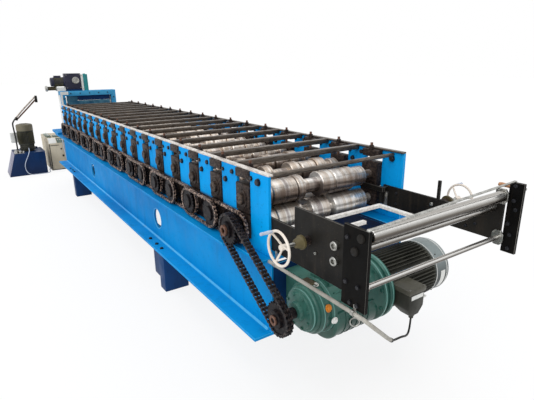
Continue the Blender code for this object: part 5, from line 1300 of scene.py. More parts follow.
def make_motor():
    """Finned motor with end plates, sheet fan cover, terminal box, gland and blank plates."""
    centre = (DRIVE_X, 0.0, DRIVE_Z)
    bm = bmesh.new()
    add_turned(bm, [(MOTOR_START_Y, 0.182), (0.020, 0.186), (0.026, 0.186), (0.028, 0.160), (0.056, 0.158),
                    (0.430, 0.158), (0.436, 0.170), (0.446, 0.176), (MOTOR_END_Y, 0.176), (0.461, 0.150)], 64,
               centre)
    piece_from("motor_barrel", bm, [M["motor"]], stands_for=("drive_motor",))
    fins = spun(fin_source(0.150, 0.184, 0.0052, 0.034, 0.432), 46, centre, M["fins"])
    piece_from("motor_fins", merged([fins]), [M["fins"]])
    bm = bmesh.new()
    add_turned(bm, [(0.444, 0.174), (0.445, 0.1805), (0.462, 0.182), (0.560, 0.182), (0.578, 0.176), (0.592, 0.160),
                    (0.598, 0.140), (0.599, 0.052), (0.594, 0.050), (0.594, 0.020)], 72, centre)
    piece_from("fan_cover", bm, [M["cover"]])
    bm = bmesh.new()
    for radius in (0.066, 0.080, 0.094, 0.108, 0.122):
        add_ring(bm, radius + 0.004, radius, 0.5990, 0.6005, 40, centre)
    for angle in (0, 90, 180, 270):
        place = around(angle + 45, 0.1815, 0.470)[0]
        add_turned(bm, [(0.0, 0.004), (0.006, 0.006)], 8, tuple(place), "Y")
    piece_from("fan_guard_rings", bm, [M["motor"]])
    bm = bmesh.new()
    for radius, start, end in ((0.1835, 0.446, 0.450), (0.1838, 0.548, 0.553)):
        add_ring(bm, radius, radius - 0.003, start, end, 72, centre)
    piece_from("fan_cover_beads", bm, [M["white"]])
    bm = bmesh.new()
    strip = [[around(8 - 7 * step, 0.1832, y)[0] for y in (0.488, 0.530)] for step in range(7)]
    for (a, b), (c, d) in zip(strip, strip[1:]):
        bm.faces.new([bm.verts.new(p) for p in (a, b, d, c)])
    bmesh.ops.remove_doubles(bm, verts=bm.verts, dist=0.0001)
    bmesh.ops.solidify(bm, geom=bm.faces, thickness=-0.0012)
    piece_from("cover_blank_plate", bm, [M["white"]])
    lid = ((2.272, 0.014, 0.700), (2.4375, 0.166, 0.732))
    boxed_piece("terminal_box_lid", [lid], 0.006, M["lid"], 2)
    bm = bmesh.new()
    upper = [(2.285, 0.022), (2.431, 0.022), (2.431, 0.158), (2.285, 0.158)]
    foot = [(2.345, 0.055), (2.425, 0.055), (2.425, 0.125), (2.345, 0.125)]
    rings = [[bm.verts.new((x, y, z)) for x, y in outline]
             for outline, z in ((upper, 0.700), (upper, 0.602), (foot, 0.548))]
    bridge(bm, rings)
    soften(bm, 0.007, 2)
    add_box(bm, (DRIVE_X + 0.12, 0.030, 0.610), (2.29, 0.150, 0.690))
    add_turned(bm, [(0.5208, 0.011), (0.524, 0.0145), (0.540, 0.0145), (0.541, 0.019), (0.552, 0.019)], 12,
               (2.40, 0.0903, 0.0), "Z")
    piece_from("terminal_box_body", bm, [M["motor"]])
    bm = bmesh.new()
    add_box(bm, (2.430, 0.040, 0.664), (2.4325, 0.146, 0.690))
    add_box(bm, (2.405, 0.164, 0.640), (2.420, 0.196, 0.648))
    piece_from("terminal_box_blank_plate", bm, [M["white"]])
    places = [((2.4375 - 0.012, y, 0.732), UP, 0.009) for y in (0.028, 0.152)]
    places += [((2.284, y, 0.732), UP, 0.009) for y in (0.028, 0.152)]
    fasteners("terminal_box_screws", places, socket_bolt, M["zinc"])


def roller(name, place, face, end, body, node):
    """Chromed roller with bevelled shoulders and turned journals."""
    x, z, radius = place
    bm = bmesh.new()
    steps = [(-end, JOURNAL_RADIUS - 0.002), (-end + 0.002, JOURNAL_RADIUS), (-face - 0.001, JOURNAL_RADIUS),
             (-face, radius - 0.003), (-face + 0.003, radius)]
    add_turned(bm, steps + [(-along, size) for along, size in reversed(steps)], 56, (x, 0.0, z))
    piece_from(f"{name}_turned", bm, [M[name]], body, (node,), 30.0)


def make_table():
    """Table plates, uprights, rollers, rods and guides of the entry table, with their fasteners."""
    black = [M["black"], M["black_edge"]]
    for node in ("near_table_plate", "far_table_plate"):
        painted_node(node, 0.0016, black)
    for node in ("near_upright", "far_upright"):
        painted_node(node, 0.0016, [M["upright"], M["black_edge"]])
    bm = bmesh.new()
    add_box(bm, (1.49, 0.500, 1.098), (1.755, 0.5215, 1.134))
    add_box(bm, (1.727, 0.5213, 1.098), (1.755, 0.5554, 1.134))
    soften(bm, 0.002, 1, 1)
    piece_from("far_plate_bracket", bm, black)
    clip = (((1.730, 0.5445, 0.958), (1.764, 0.5554, 1.096)), ((1.740, 0.5405, 0.975), (1.754, 0.5446, 1.080)))
    boxed_piece("far_plate_clip", clip, 0.003, M["zinc"], 2)
    low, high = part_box("entry_flat_bar")
    bm = bmesh.new()
    ends = []
    for y, x, z in ((low.y, BAR_NEAR_X, low.z), (high.y, BAR_FAR_X, high.z - BAR_THICK)):
        corners = ((x, z), (x + BAR_WIDTH, z), (x + BAR_WIDTH, z + BAR_THICK), (x, z + BAR_THICK))
        ends.append([bm.verts.new((a, y, b)) for a, b in corners])
    bridge(bm, ends)
    soften(bm, 0.0015)
    piece_from("flat_bar_drawn", bm, [M["zinc"]], stands_for=("entry_flat_bar",))
    roller("top_roller", TOP_ROLLER, 0.5374, 0.594, "top_roller", "entry_top_roller")
    roller("lower_roller", LOWER_ROLLER, 0.5374, 0.594, "lower_roller", "entry_lower_roller")
    bm = bmesh.new()
    x, z, radius = GUIDE_ROD
    low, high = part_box("guide_rod")
    add_turned(bm, [(low.y, radius - 0.002), (low.y + 0.002, radius), (high.y - 0.002, radius),
                    (high.y, radius - 0.002)], 40, (x, 0.0, z))
    add_ring(bm, radius + 0.008, radius, low.y, low.y + 0.010, 40, (x, 0.0, z))
    piece_from("guide_rod_turned", bm, [M["rod"]], stands_for=("guide_rod",))
    bm = bmesh.new()
    low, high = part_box("front_tie_rod")
    middle = (low + high) / 2
    add_turned(bm, [(low.y, 0.012), (low.y + 0.002, 0.0140), (high.y - 0.002, 0.0140), (high.y, 0.012)], 32,
               (middle.x, 0.0, middle.z))
    piece_from("front_tie_rod_turned", bm, [M["ties"]], stands_for=("front_tie_rod",))
    for node in ("roller_flange", "rod_flange"):
        painted_node(node, 0.0015, [M["zinc"], M["zinc"]])
    painted_node("sheet_guides", 0.002, [M["guide"], M["strip"]])
    bolts = (
        (0.57, 0.022, ((2.663, 1.332), (2.664, 1.245), (2.681, 1.194),
                       (2.650, 1.102), (2.669, 1.038), (2.668, 0.954))),
        (-0.59, 0.022, ((2.52, 1.245), (2.52, 1.02), (2.60, 1.02), (2.555, 0.925), (2.60, 0.925))),
        (0.5554, 0.020, ((2.46, 1.05), (2.40, 1.02), (1.84, 1.02), (1.84, 1.10))))
    nuts = (
        (-0.5697, 0.048, ((2.427, 1.166), (2.427, 1.085))),
        (-0.5697, 0.016, ((2.274, 1.069),)),
        (0.5554, 0.026, ((2.142, 1.096),)),
        (0.5434, 0.013, ((2.583, 1.232), (2.627, 1.232), (2.583, 1.292), (2.627, 1.292),
                         (2.588, 0.980), (2.632, 0.980), (2.588, 1.040), (2.632, 1.040))))
    for name, rows, kind, finish, slot in (("table_bolts", bolts, hex_bolt, "bolt", "black_steel"),
                                           ("table_bright_nuts", nuts, socket_bolt, "zinc", "zinc_plate")):
        places = [((x, y, z), TO_NEAR, size) for y, size, spots in rows for x, z in spots]
        fasteners(name, places, kind, M[finish])
    bm = bmesh.new()
    for x, z, radius in (TOP_ROLLER, LOWER_ROLLER):
        add_turned(bm, [(-0.6005, 0.016), (-0.5985, 0.020), (-0.5902, 0.022)], 24, (x, 0.0, z))
        add_turned(bm, [(0.5705, 0.016), (0.596, 0.016), (0.599, 0.013)], 24, (x, 0.0, z))
    piece_from("journal_caps", bm, [M["black"]])


def make_wheels():
    """Ivory hand wheels on their bosses, and the turned handle of the far upright."""
    for side, word in ((-1, "near"), (1, "far")):
        y = side * WHEEL_Y
        bm = bmesh.new()
        rim = [(WHEEL_X + WHEEL_REACH * math.cos(a), y, WHEEL_Z + WHEEL_REACH * math.sin(a))
               for a in (2 * math.pi * step / 64 for step in range(64))]
        add_tube(bm, rim, 0.0074, 14, True)
        hub = Vector((WHEEL_X, y - side * WHEEL_DISH, WHEEL_Z))
        for spoke in range(3):
            angle = math.radians(120 * spoke + 12)
            way = Vector((math.cos(angle), 0.0, math.sin(angle)))
            out = Vector((0.0, side * WHEEL_DISH, 0.0))
            tip = hub + way * (WHEEL_REACH - 0.002) + out
            add_tube(bm, [hub + way * 0.012, hub + way * 0.045 + out * 0.35, tip], 0.0060, 10)
        steps = [(-0.022, 0.013), (-0.019, 0.0155), (0.012, 0.0165), (0.016, 0.0150), (0.018, 0.009)]
        add_turned(bm, [(hub.y + side * along, size) for along, size in steps], 32, (WHEEL_X, 0.0, WHEEL_Z))
        piece_from(f"{word}_wheel_cast", bm, [M["ivory"]], f"{word}_wheel", (f"{word}_handwheel",))
        bm = bmesh.new()
        lean = math.radians(120)
        grip = (WHEEL_X + WHEEL_REACH * math.cos(lean), 0.0, WHEEL_Z + WHEEL_REACH * math.sin(lean))
        steps = [(0.006, 0.0055), (0.010, 0.0085), (0.030, 0.0095), (0.062, 0.0080), (0.074, 0.0090),
                 (0.079, 0.0070), (0.080, 0.003)]
        add_turned(bm, [(y + side * along, size) for along, size in steps], 20, grip)
        piece_from(f"{word}_wheel_grip", bm, [M["lead"]], f"{word}_wheel")
        bm = bmesh.new()
        add_turned(bm, [(side * 0.602, 0.0105), (hub.y - side * 0.019, 0.0105)], 20, (WHEEL_X, 0.0, WHEEL_Z))
        piece_from(f"{word}_wheel_spindle", bm, [M["zinc"]], f"{word}_wheel")
        bm = bmesh.new()
        steps = [(0.6085, 0.030), (0.6105, 0.0395), (0.622, 0.0395), (0.625, 0.034), (0.642, 0.0275),
                 (0.6535, 0.0245), (0.6595, 0.0180)]
        add_turned(bm, [(side * along, size) for along, size in steps], 36, (WHEEL_X, 0.0, WHEEL_Z))
        piece_from(f"{word}_wheel_boss", bm, [M["olive"]], stands_for=(f"{word}_wheel_bracket",))
        bm = bmesh.new()
        steps = [(0.5703, 0.026), (0.5765, 0.026), (0.5780, 0.0205), (0.6087, 0.0205)]
        add_turned(bm, [(side * along, size) for along, size in steps], 32, (WHEEL_X, 0.0, WHEEL_Z))
        piece_from(f"{word}_wheel_neck", bm, [M["blocks"]])
    bm = bmesh.new()
    add_turned(bm, [(0.5905, 0.014), (0.597, 0.014), (0.598, 0.0078), (0.668, 0.0078)], 20, (2.6715, 0.0, 1.30))
    add_turned(bm, [(2.515, 0.0080), (2.600, 0.0080), (2.668, 0.0078), (2.6795, 0.0075)], 16, HANDLE_LINE, "X")
    steps = [(2.516, 0.006), (2.518, 0.011), (2.535, 0.0135), (2.565, 0.0115), (2.590, 0.013), (2.596, 0.009)]
    piece_from("handle_rod", bm, [M["zinc"]])
    bm = bmesh.new()
    add_turned(bm, steps, 24, HANDLE_LINE, "X")
    piece_from("handle_grip", bm, [M["handle"]], stands_for=("table_handle",))


MOTOR_CONDUIT = (
    (1.8903, -0.6030, 0.8870), (1.9935, -0.6030, 0.8870), (2.0967, -0.6030, 0.8870), (2.2100, -0.6030, 0.8870),
    (2.3311, -0.6034, 0.8876), (2.4647, -0.6040, 0.8884), (2.5600, -0.6040, 0.8884), (2.6200, -0.6015, 0.8860),
    (2.6560, -0.5900, 0.8740), (2.6680, -0.5640, 0.8480), (2.6620, -0.5300, 0.8160), (2.6520, -0.5000, 0.7899),
    (2.6373, -0.4539, 0.7487), (2.6209, -0.4100, 0.7094), (2.6056, -0.3737, 0.6766), (2.5901, -0.3399, 0.6469),
    (2.5741, -0.3049, 0.6186), (2.5579, -0.2700, 0.5910))
MOTOR_CABLE = (
    (2.5578, -0.2698, 0.5908), (2.5475, -0.2477, 0.5734), (2.5410, -0.2243, 0.5655), (2.5328, -0.1929, 0.5563),
    (2.5237, -0.1595, 0.5460), (2.5144, -0.1297, 0.5351), (2.5052, -0.1052, 0.5228), (2.4956, -0.0829, 0.5093),
    (2.4856, -0.0614, 0.4960), (2.4748, -0.0395, 0.4845), (2.4625, -0.0158, 0.4741), (2.4490, 0.0088, 0.4643),
    (2.4360, 0.0317, 0.4572), (2.4251, 0.0507, 0.4548), (2.4094, 0.0761, 0.4685), (2.4000, 0.0903, 0.4897),
    (2.4000, 0.0903, 0.5197))
PUMP_CABLE = (
    (-5.8715, -1.0650, 0.5043), (-5.8368, -1.0650, 0.5043), (-5.8103, -1.0644, 0.5016), (-5.7800, -1.0650, 0.4943),
    (-5.7451, -1.0675, 0.4816), (-5.7160, -1.0750, 0.4583), (-5.7081, -1.0850, 0.4330), (-5.7057, -1.1150, 0.3643),
    (-5.7066, -1.1525, 0.2959), (-5.7087, -1.1850, 0.2243), (-5.7094, -1.1928, 0.1411), (-5.7066, -1.1698, 0.0700),
    (-5.7037, -1.1469, 0.0394), (-5.7007, -1.1150, 0.0173), (-5.6982, -1.0837, 0.0092), (-5.6954, -1.0466, 0.0074),
    (-5.6927, -0.9650, 0.0074), (-5.6910, -0.8906, 0.0074), (-5.6952, -0.8171, 0.0074), (-5.7047, -0.7900, 0.0074),
    (-5.7261, -0.7688, 0.0074), (-5.7552, -0.7572, 0.0074), (-5.8227, -0.7450, 0.0080), (-5.8609, -0.7406, 0.0114),
    (-5.9037, -0.7394, 0.0173), (-5.9428, -0.7384, 0.0232), (-5.9700, -0.7350, 0.0273), (-5.9700, -0.7003, 0.0273))
DESK_CABLE = (
    (-6.0570, -0.3700, 0.6403), (-6.0570, -0.3700, 0.6800), (-6.0341, -0.3781, 0.6940), (-6.0000, -0.3900, 0.6950),
    (-5.9705, -0.4000, 0.6820), (-5.9373, -0.4111, 0.6602), (-5.9100, -0.4200, 0.6300), (-5.8960, -0.4246, 0.6017),
    (-5.8854, -0.4281, 0.5684), (-5.8777, -0.4301, 0.5310), (-5.8727, -0.4300, 0.4900), (-5.8714, -0.4283, 0.4591),
    (-5.8720, -0.4252, 0.4244), (-5.8739, -0.4212, 0.3881), (-5.8761, -0.4170, 0.3522), (-5.8780, -0.4131, 0.3188),
    (-5.8787, -0.4100, 0.2900), (-5.8771, -0.4069, 0.2450), (-5.8739, -0.4048, 0.2100), (-5.8707, -0.4000, 0.1800),
    (-5.8657, -0.3828, 0.1403), (-5.8627, -0.3650, 0.1150), (-5.8700, -0.3500, 0.1200), (-5.8897, -0.3500, 0.1200))


def eased(path, rounds):
    """Path with its bends opened: every inner point goes to the middle of its neighbours, the ends stay."""
    points = [Vector(p) for p in path]
    for _ in range(rounds):
        points = ([points[0], points[1]] + [p * 0.5 + (before + after) * 0.25
                                            for before, p, after in zip(points[1:], points[2:], points[3:-1])]
                  + [points[-2], points[-1]])
    return points


def cable(name, path, radius, finish, node):
    """Round cable along its path."""
    bm = bmesh.new()
    add_tube(bm, path, radius, 14)
    piece = piece_from(name, bm, [finish], stands_for=(node,), angle=60.0)


def make_wiring():
    """Ribbed conduit past the near upright with its saddles and ferrule, and the cable into the motor's gland."""
    path = eased(smooth_path(MOTOR_CONDUIT, 5), 30)
    mesh = run_tree(CONDUIT, path_mesh(path), Ring_step=0.0042, Radius=0.011, Groove=0.0014, Finish=M["conduit"])
    conduit = place_piece("motor_conduit_ribs", mesh, [], stands_for=("motor_conduit",),
                          angle=60.0)
    end = path[-1]
    back = (path[-2] - end).normalized()
    bm = bmesh.new()
    add_tube(bm, [end + back * 0.030, end + back * 0.001], 0.0122, 16)
    ferrule = piece_from("conduit_ferrule", bm, [M["cable"]])
    cable("motor_cable_run", eased(smooth_path(MOTOR_CABLE, 4), 40), 0.006, M["cable"], "motor_cable")
    bm = bmesh.new()
    for x in (1.95, 2.59):
        sole = 0.9005 if x > 2.5 else 0.9455
        add_ring(bm, 0.0142, 0.0112, x - 0.009, x + 0.009, 20, (0.0, -0.603, 0.8872), "X")
        add_box(bm, (x - 0.009, -0.5935, 0.8990), (x + 0.009, -0.5905, sole + 0.026))
        add_box(bm, (x - 0.009, -0.6040, 0.8990), (x + 0.009, -0.5905, 0.9018))
    piece_from("conduit_saddles", bm, [M["zinc"]])
    places = [((x, -0.5935, z), TO_NEAR, 0.011) for x, z in ((1.95, 0.960), (2.59, 0.917))]
    fasteners("saddle_screws", places, hex_bolt, M["zinc"])


def make_cutter():
    """Bed, portal, slides, parked blade with its push rods, lower die and the press unit on top."""
    painted_node("cutter_bed", 0.004, [M["blue"], M["blue_edge"]])
    painted_node("cutter_frame", 0.005, [M["portal"], M["blue_edge"]], 2)
    painted_node("lower_die", 0.003, [M["blocks"], M["strip"]])
    painted_node("cutter_blade", 0.002, [M["blade"], M["strip"]])
    bm = bmesh.new()
    for y in PUSH_RODS_Y:
        rod = [(1.3602, 0.030), (1.372, 0.030), (1.3722, 0.019), (1.518, 0.019)]
        add_turned(bm, rod, 24, (CUTTER_X, y, 0.0), "Z")
    piece_from("push_rods", bm, [M["chrome"]], "blade")
    bm = bmesh.new()
    for y in PUSH_RODS_Y:
        add_ring(bm, 0.030, 0.0205, 1.405, 1.524, 24, (CUTTER_X, y, 0.0), "Z")
    piece_from("push_rod_sleeves", bm, [M["press_block"]])
    boxes = [((x, -0.235, 1.440), (x + 0.007, 0.318, 1.5245)) for x in (-4.9075, -4.7995)]
    boxes += [((-4.9005, y, 1.440), (-4.7995, y + 0.010, 1.5245)) for y in (-0.15, -0.05, 0.06, 0.27)]
    boxed_piece("blade_housing", boxes, 0.0015, M["navy"])
    boxes = [((-4.803, -0.430, 1.345), (-4.792, 0.318, 1.438)), ((-4.803, -0.430, 1.4385), (-4.792, -0.245, 1.5245))]
    boxes += [((-4.7925, y, 1.398), (-4.788, y + 0.030, 1.434))
              for y in (-0.400, -0.350, -0.150, -0.050, 0.050, 0.250)]
    boxed_piece("blade_housing_rail", boxes, 0.0015, M["rail"])
    boxes = [((x, near, 0.96), (x + 0.029, far, 1.50))
             for near, far in ((-0.4545, -0.438), (0.328, 0.3445)) for x in (-4.829, -4.900)]
    boxed_piece("blade_slides", boxes, 0.002, M["zinc"])
    boxes = (((CUTTER_FRONT_X, -0.531, 0.96), (CUTTER_FRONT_X + 0.005, -0.497, 1.545)),
             ((-4.940, -0.539, 0.96), (-4.762, -0.535, 1.545)),
             ((CUTTER_FRONT_X, -0.531, 1.548), (CUTTER_FRONT_X + 0.005, -0.40, 1.602)))
    boxed_piece("portal_cover_plates", boxes, 0.0015, M["white"])
    places = []
    for y in (-0.480, 0.385):
        for z in (1.00, 1.12, 1.24, 1.36, 1.48):
            places.append(((CUTTER_FRONT_X, y, z), TO_FRONT, 0.022))
    for y in (-0.36, -0.20, -0.04, 0.12, 0.28):
        places.append(((CUTTER_FRONT_X, y, 1.567), TO_FRONT, 0.020))
    for y in (-0.62, -0.40, 0.40, 0.62):
        places.append(((-4.50, y, 0.9423), UP, 0.026))
    fasteners("portal_bolts", places, hex_bolt, M["bolt"])

    low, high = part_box("cutter_motor")
    bm = bmesh.new()
    add_box(bm, (low.x, -0.42, CUTTER_TOP_Z + 0.028), (high.x, -0.152, high.z))
    soften(bm, 0.010, 3)
    for z in (1.70, 1.725, 1.75):
        add_box(bm, (high.x - 0.003, -0.410, z), (high.x + 0.001, -0.325, z + 0.010))
    piece_from("press_block", bm, [M["press_block"]], stands_for=("cutter_motor",))
    middle = (low.x + high.x) / 2
    base = ((low.x + 0.003, -0.405, CUTTER_TOP_Z + 0.0003), (high.x + 0.002, -0.1525, CUTTER_TOP_Z + 0.029))
    boxed_piece("press_base_plate", [base], 0.002, M["navy"])
    bm = bmesh.new()
    profile = [(-0.652, 0.040), (-0.648, 0.066), (-0.640, 0.074), (-0.600, 0.076), (-0.598, 0.068), (-0.448, 0.068),
               (-0.446, 0.080), (-0.4205, 0.082)]
    add_turned(bm, profile, 40, (middle, 0.0, PRESS_MOTOR_Z))
    add_box(bm, (middle - 0.035, -0.585, 1.835), (middle + 0.035, -0.475, 1.876))
    piece_from("press_motor", bm, [M["press_block"]])
    fins = spun(fin_source(0.066, 0.079, 0.005, -0.596, -0.450), 26, (middle, 0.0, PRESS_MOTOR_Z), M["pump"])
    piece_from("press_motor_fins", merged([fins]), [M["pump"]])
    bm = bmesh.new()
    add_box(bm, (low.x + 0.006, -0.1515, CUTTER_TOP_Z + 0.0003), (high.x - 0.001, -0.114, 1.893))
    soften(bm, 0.004, 2)
    add_box(bm, (low.x + 0.02, -0.56, CUTTER_TOP_Z + 0.0003), (high.x - 0.02, -0.4215, CUTTER_TOP_Z + 0.062))
    soften(bm, 0.003, 1)
    piece_from("press_white_plates", bm, [M["white"]])
    bm = bmesh.new()
    add_box(bm, (low.x + 0.002, -0.1135, CUTTER_TOP_Z + 0.0003), (high.x - 0.002, -0.037, 1.895))
    soften(bm, 0.008, 3)
    add_turned(bm, [(1.893, 0.020), (1.902, 0.020), (1.905, 0.016)], 20, (middle, -0.075, 0.0), "Z")
    piece_from("press_oil_tank", bm, [M["teal"]])
    bm = bmesh.new()
    profile = [(-0.002, 0.060), (0.004, 0.060), (0.006, 0.054), (0.006, 0.046), (0.003, 0.043), (0.003, 0.012),
               (0.008, 0.010)]
    add_turned(bm, profile, 36, (high.x, -0.245, 1.79), "X")
    piece_from("press_end_plate", bm, [M["zinc"]])
    bm = bmesh.new()
    centre = (middle, 0.0, CYLINDER_Z)
    add_turned(bm, [(-0.745, 0.036), (-0.741, 0.048), (-0.712, 0.050), (-0.708, 0.046)], 32, centre)
    add_turned(bm, [(-0.578, 0.044), (-0.5605, 0.046)], 32, centre)
    piece_from("press_cylinder_heads", bm, [M["zinc"]])
    bm = bmesh.new()
    add_turned(bm, [(-0.709, 0.032), (-0.577, 0.032)], 28, centre)
    for a in (45, 135, 225, 315):
        x, z = middle + 0.040 * math.cos(math.radians(a)), CYLINDER_Z + 0.038 * math.sin(math.radians(a))
        add_turned(bm, [(-0.712, 0.0045), (-0.570, 0.0045)], 8, (x, 0.0, z))
    piece_from("press_cylinder_barrel", bm, [M["olive"]])
    places = [((high.x - 0.001, y, z), TO_FRONT, 0.014)
              for y in (-0.395, -0.170) for z in (1.665, 1.885)]
    places += [((high.x - 0.001, -0.133, z), TO_FRONT, 0.012) for z in (1.64, 1.87)]
    fasteners("press_screws", places, socket_bolt, M["zinc"])


def make_station():
    """Oil tank with its lid fittings, upright pump motor, pressure pipes and the cable to the cabinet."""
    low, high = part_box("hydraulic_tank")
    painted_node("hydraulic_tank", 0.006, [M["tank"], M["tank"], M["tank_side"]], 2, TO_NEAR)
    bm = bmesh.new()
    add_box(bm, (low.x - 0.006, -1.336, high.z - 0.004), (high.x + 0.001, high.y + 0.006, high.z + 0.0001))
    add_turned(bm, [(high.z, 0.034), (high.z + 0.030, 0.034), (high.z + 0.036, 0.026)], 24, (-6.24, -0.90, 0.0), "Z")
    soften(bm, 0.0015)
    piece_from("tank_lid", bm, [M["tank"]])
    bm = bmesh.new()
    for x, y in ((-5.775, -1.29), (-5.80, -1.225), (-5.855, -1.30), (-5.775, -1.17), (-5.92, -1.28)):
        add_turned(bm, [(0.0002, 0.020), (0.012, 0.020), (0.013, 0.013), (0.030, 0.013), (0.031, 0.017),
                        (0.040, 0.015)], 6, (x, y, high.z), "Z")
    add_tube(bm, smooth_path([(-5.775, -1.29, high.z + 0.036), (-5.79, -1.265, high.z + 0.048),
                              (-5.80, -1.225, high.z + 0.036)], 5), 0.007, 10)
    add_tube(bm, smooth_path([(-5.855, -1.30, high.z + 0.034), (-5.89, -1.29, high.z + 0.060),
                              (-5.92, -1.28, high.z + 0.034)], 5), 0.007, 10)
    add_box(bm, (-5.99, -1.325, high.z + 0.0002), (-5.73, -1.15, high.z + 0.005))
    piece_from("tank_fittings", bm, [M["chrome"]])
    places = [((x, y, high.z + 0.0001), UP, 0.018)
              for x in (low.x + 0.03, low.x + 0.22, -5.93) for y in (-1.31, high.y - 0.03)]
    fasteners("tank_lid_bolts", places, hex_bolt, M["bolt"])

    x, y = PUMP
    bm = bmesh.new()
    add_turned(bm, [(0.4373, 0.118), (0.452, 0.120), (0.4673, 0.120), (0.469, 0.142), (0.492, 0.146), (0.496, 0.128),
                    (0.560, 0.130), (0.575, 0.146), (0.590, 0.146), (0.594, 0.124), (0.812, 0.124), (0.816, 0.146),
                    (0.836, 0.146)], 48, (x, y, 0.0), "Z")
    piece_from("pump_motor_barrel", bm, [M["motor"]], stands_for=("pump_motor",))
    fins = spun(fin_source(0.120, 0.145, 0.0055, 0.592, 0.814), 36, (0.0, 0.0, 0.0), M["pump"])
    fins.transform(Matrix.Translation((x, y, 0.0)) @ Matrix.Rotation(math.radians(90), 4, "X"))
    piece_from("pump_motor_fins", merged([fins]), [M["pump"]])
    bm = bmesh.new()
    add_turned(bm, [(0.834, 0.142), (0.836, 0.1475), (0.935, 0.1475), (0.952, 0.138), (0.962, 0.118), (0.966, 0.084),
                    (0.967, 0.020)], 48, (x, y, 0.0), "Z")
    for radius in (0.040, 0.060, 0.080):
        add_ring(bm, radius + 0.003, radius, 0.9655, 0.9685, 32, (x, y, 0.0), "Z")
    piece_from("pump_fan_cover", bm, [M["cover_olive"]])
    bm = bmesh.new()
    add_box(bm, (x - 0.125, y - 0.262, 0.605), (x - 0.050, y - 0.120, 0.800))
    soften(bm, 0.006, 2)
    add_box(bm, (x - 0.0505, y - 0.255, 0.620), (x - 0.047, y - 0.150, 0.785))
    piece_from("pump_terminal_box", bm, [M["white"]])

    bm = bmesh.new()
    hose = smooth_path([(x, -1.243, 0.4373), (x, -1.243, 0.56), (x, -1.244, 0.739), (x, -1.2534, 0.957),
                        (x, -1.232, 1.022), (x, -1.1806, 1.0873)], 6)
    add_tube(bm, hose, 0.0138, 16)
    piece_from("pressure_hose_run", bm, [M["cable"]], stands_for=("pressure_pipes",))
    bm = bmesh.new()
    add_tube(bm, [(x, -1.19, 1.0778), (x, -1.0038, 1.2693), (x, -0.7854, 1.4773)], 0.0138, 16)
    piece_from("pressure_pipe_run", bm, [M["pipe"]])
    bm = bmesh.new()
    run = [(x - 0.020, y_at, z_at) for y_at, z_at in ((-1.1520, 1.0640), (-0.9750, 1.2330), (-0.7900, 1.4120))]
    add_tube(bm, run, 0.0136, 16)
    piece_from("return_pipe_run", bm, [M["rust"]])
    bm = bmesh.new()
    for y_at, z_at, drop in ((-1.1806, 1.0873, 0.050), (-0.7854, 1.4773, 0.115)):
        add_box(bm, (x - 0.047, y_at - 0.012, z_at - drop), (x + 0.014, y_at + 0.030, z_at + 0.013))
    soften(bm, 0.003, 1)
    add_turned(bm, [(0.4376, 0.022), (0.452, 0.022), (0.453, 0.018), (0.480, 0.018)], 6, (x, -1.243, 0.0), "Z")
    piece_from("pipe_brackets", bm, [M["black"]])
    cable("pump_cable_run", eased(smooth_path(PUMP_CABLE, 4), 12), 0.007, M["lead"], "pump_cable")


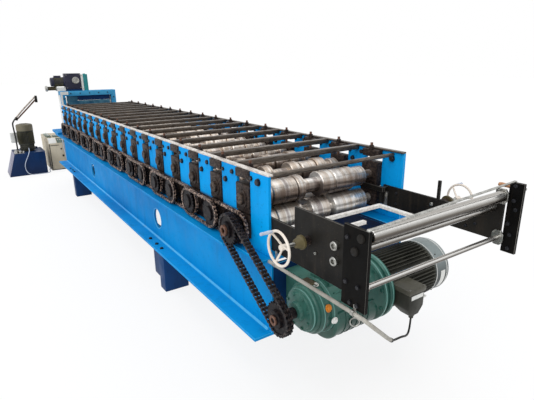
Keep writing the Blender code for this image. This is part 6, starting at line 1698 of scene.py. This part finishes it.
def make_cabinet():
    """Console with its door, gasket, desk plate, buttons, switch housing and the cable down its front."""
    painted_node("control_cabinet", 0.004, [M["cream"], M["cream"]], 2)
    front = CABINET_FRONT_X
    bm = bmesh.new()
    add_box(bm, (front, -0.672, 0.035), (front + 0.004, -0.330, 0.525))
    soften(bm, 0.003, 2)
    for x in (-6.62, -6.36, -6.10):
        add_box(bm, (x, -0.7035, 0.05), (x + 0.010, -0.7, 0.60))
    piece_from("cabinet_door", bm, [M["cream"]])
    bm = bmesh.new()
    add_box(bm, (front - 0.001, -0.691, 0.006), (front + 0.003, -0.677, 0.538))
    add_box(bm, (front + 0.0035, -0.668, 0.500), (front + 0.0065, -0.515, 0.512))
    add_box(bm, (front + 0.0035, -0.470, 0.265), (front + 0.010, -0.434, 0.305))
    add_box(bm, (front - 0.001, -0.697, 0.0), (front + 0.005, -0.323, 0.014))
    soften(bm, 0.001)
    add_turned(bm, [(front + 0.0035, 0.016), (front + 0.009, 0.016), (front + 0.010, 0.012), (front + 0.022, 0.011)],
               20, (0.0, -0.475, 0.427), "X")
    piece_from("cabinet_gasket_and_knobs", bm, [M["cable"]])
    bm = bmesh.new()
    add_box(bm, (front + 0.001, -0.388, 0.235), (front + 0.012, -0.326, 0.500))
    soften(bm, 0.005, 2)
    add_turned(bm, [(front + 0.012, 0.028), (front + 0.016, 0.028), (front + 0.017, 0.024)], 24,
               (0.0, -0.357, 0.315), "X")
    piece_from("cabinet_switch_housing", bm, [M["black"]])
    bm = bmesh.new()
    add_turned(bm, [(front + 0.0165, 0.015), (front + 0.019, 0.014), (front + 0.0195, 0.011)], 24,
               (0.0, -0.357, 0.315), "X")
    low, high = Vector((-5.90, 0.0, 0.5468)), Vector((-6.042, 0.0, 0.6355))
    out = Vector((0.53, 0.0, 0.848)) * 0.004
    outline = [(p.x, p.z) for p in (low, high, high + out, low + out)]
    add_prism(bm, outline, -0.685, -0.545)
    piece_from("cabinet_desk_plate", bm, [M["white"]])
    bm = bmesh.new()
    add_prism(bm, outline, -0.535, -0.345)
    add_box(bm, (-6.60, -0.680, 0.6402), (-6.12, -0.600, 0.672))
    soften(bm, 0.004, 2)
    add_box(bm, (-6.30, -0.560, 0.6402), (-6.12, -0.430, 0.662))
    piece_from("cabinet_top_trays", bm, [M["tray"]])
    bm = bmesh.new()
    for x in (-6.52, -6.40, -6.28, -6.18):
        add_turned(bm, [(0.6722, 0.016), (0.684, 0.016), (0.686, 0.011), (0.694, 0.010)], 16, (x, -0.64, 0.0), "Z")
    for y in (-0.505, -0.465, -0.425, -0.385):
        place = low * 0.45 + high * 0.55 + out
        add_turned(bm, [(place.z - 0.001, 0.011), (place.z + 0.008, 0.011), (place.z + 0.010, 0.008)], 16,
                   (place.x, y, 0.0), "Z")
    piece_from("cabinet_top_buttons", bm, [M["white"]])
    bm = bmesh.new()
    add_ring(bm, 0.017, 0.0072, -5.8898, -5.8830, 24, (0.0, -0.350, 0.120), "X")
    piece_from("desk_cable_gland", bm, [M["cable"]])
    cable("desk_cable_run", eased(smooth_path(DESK_CABLE, 4), 40), 0.007, M["lead"], "desk_cable")


make_structure()
make_top()
make_rolls()
make_chains()
make_sprockets()
make_reducer()
make_motor()
make_table()
make_wheels()
make_wiring()
make_cutter()
make_station()
make_cabinet()
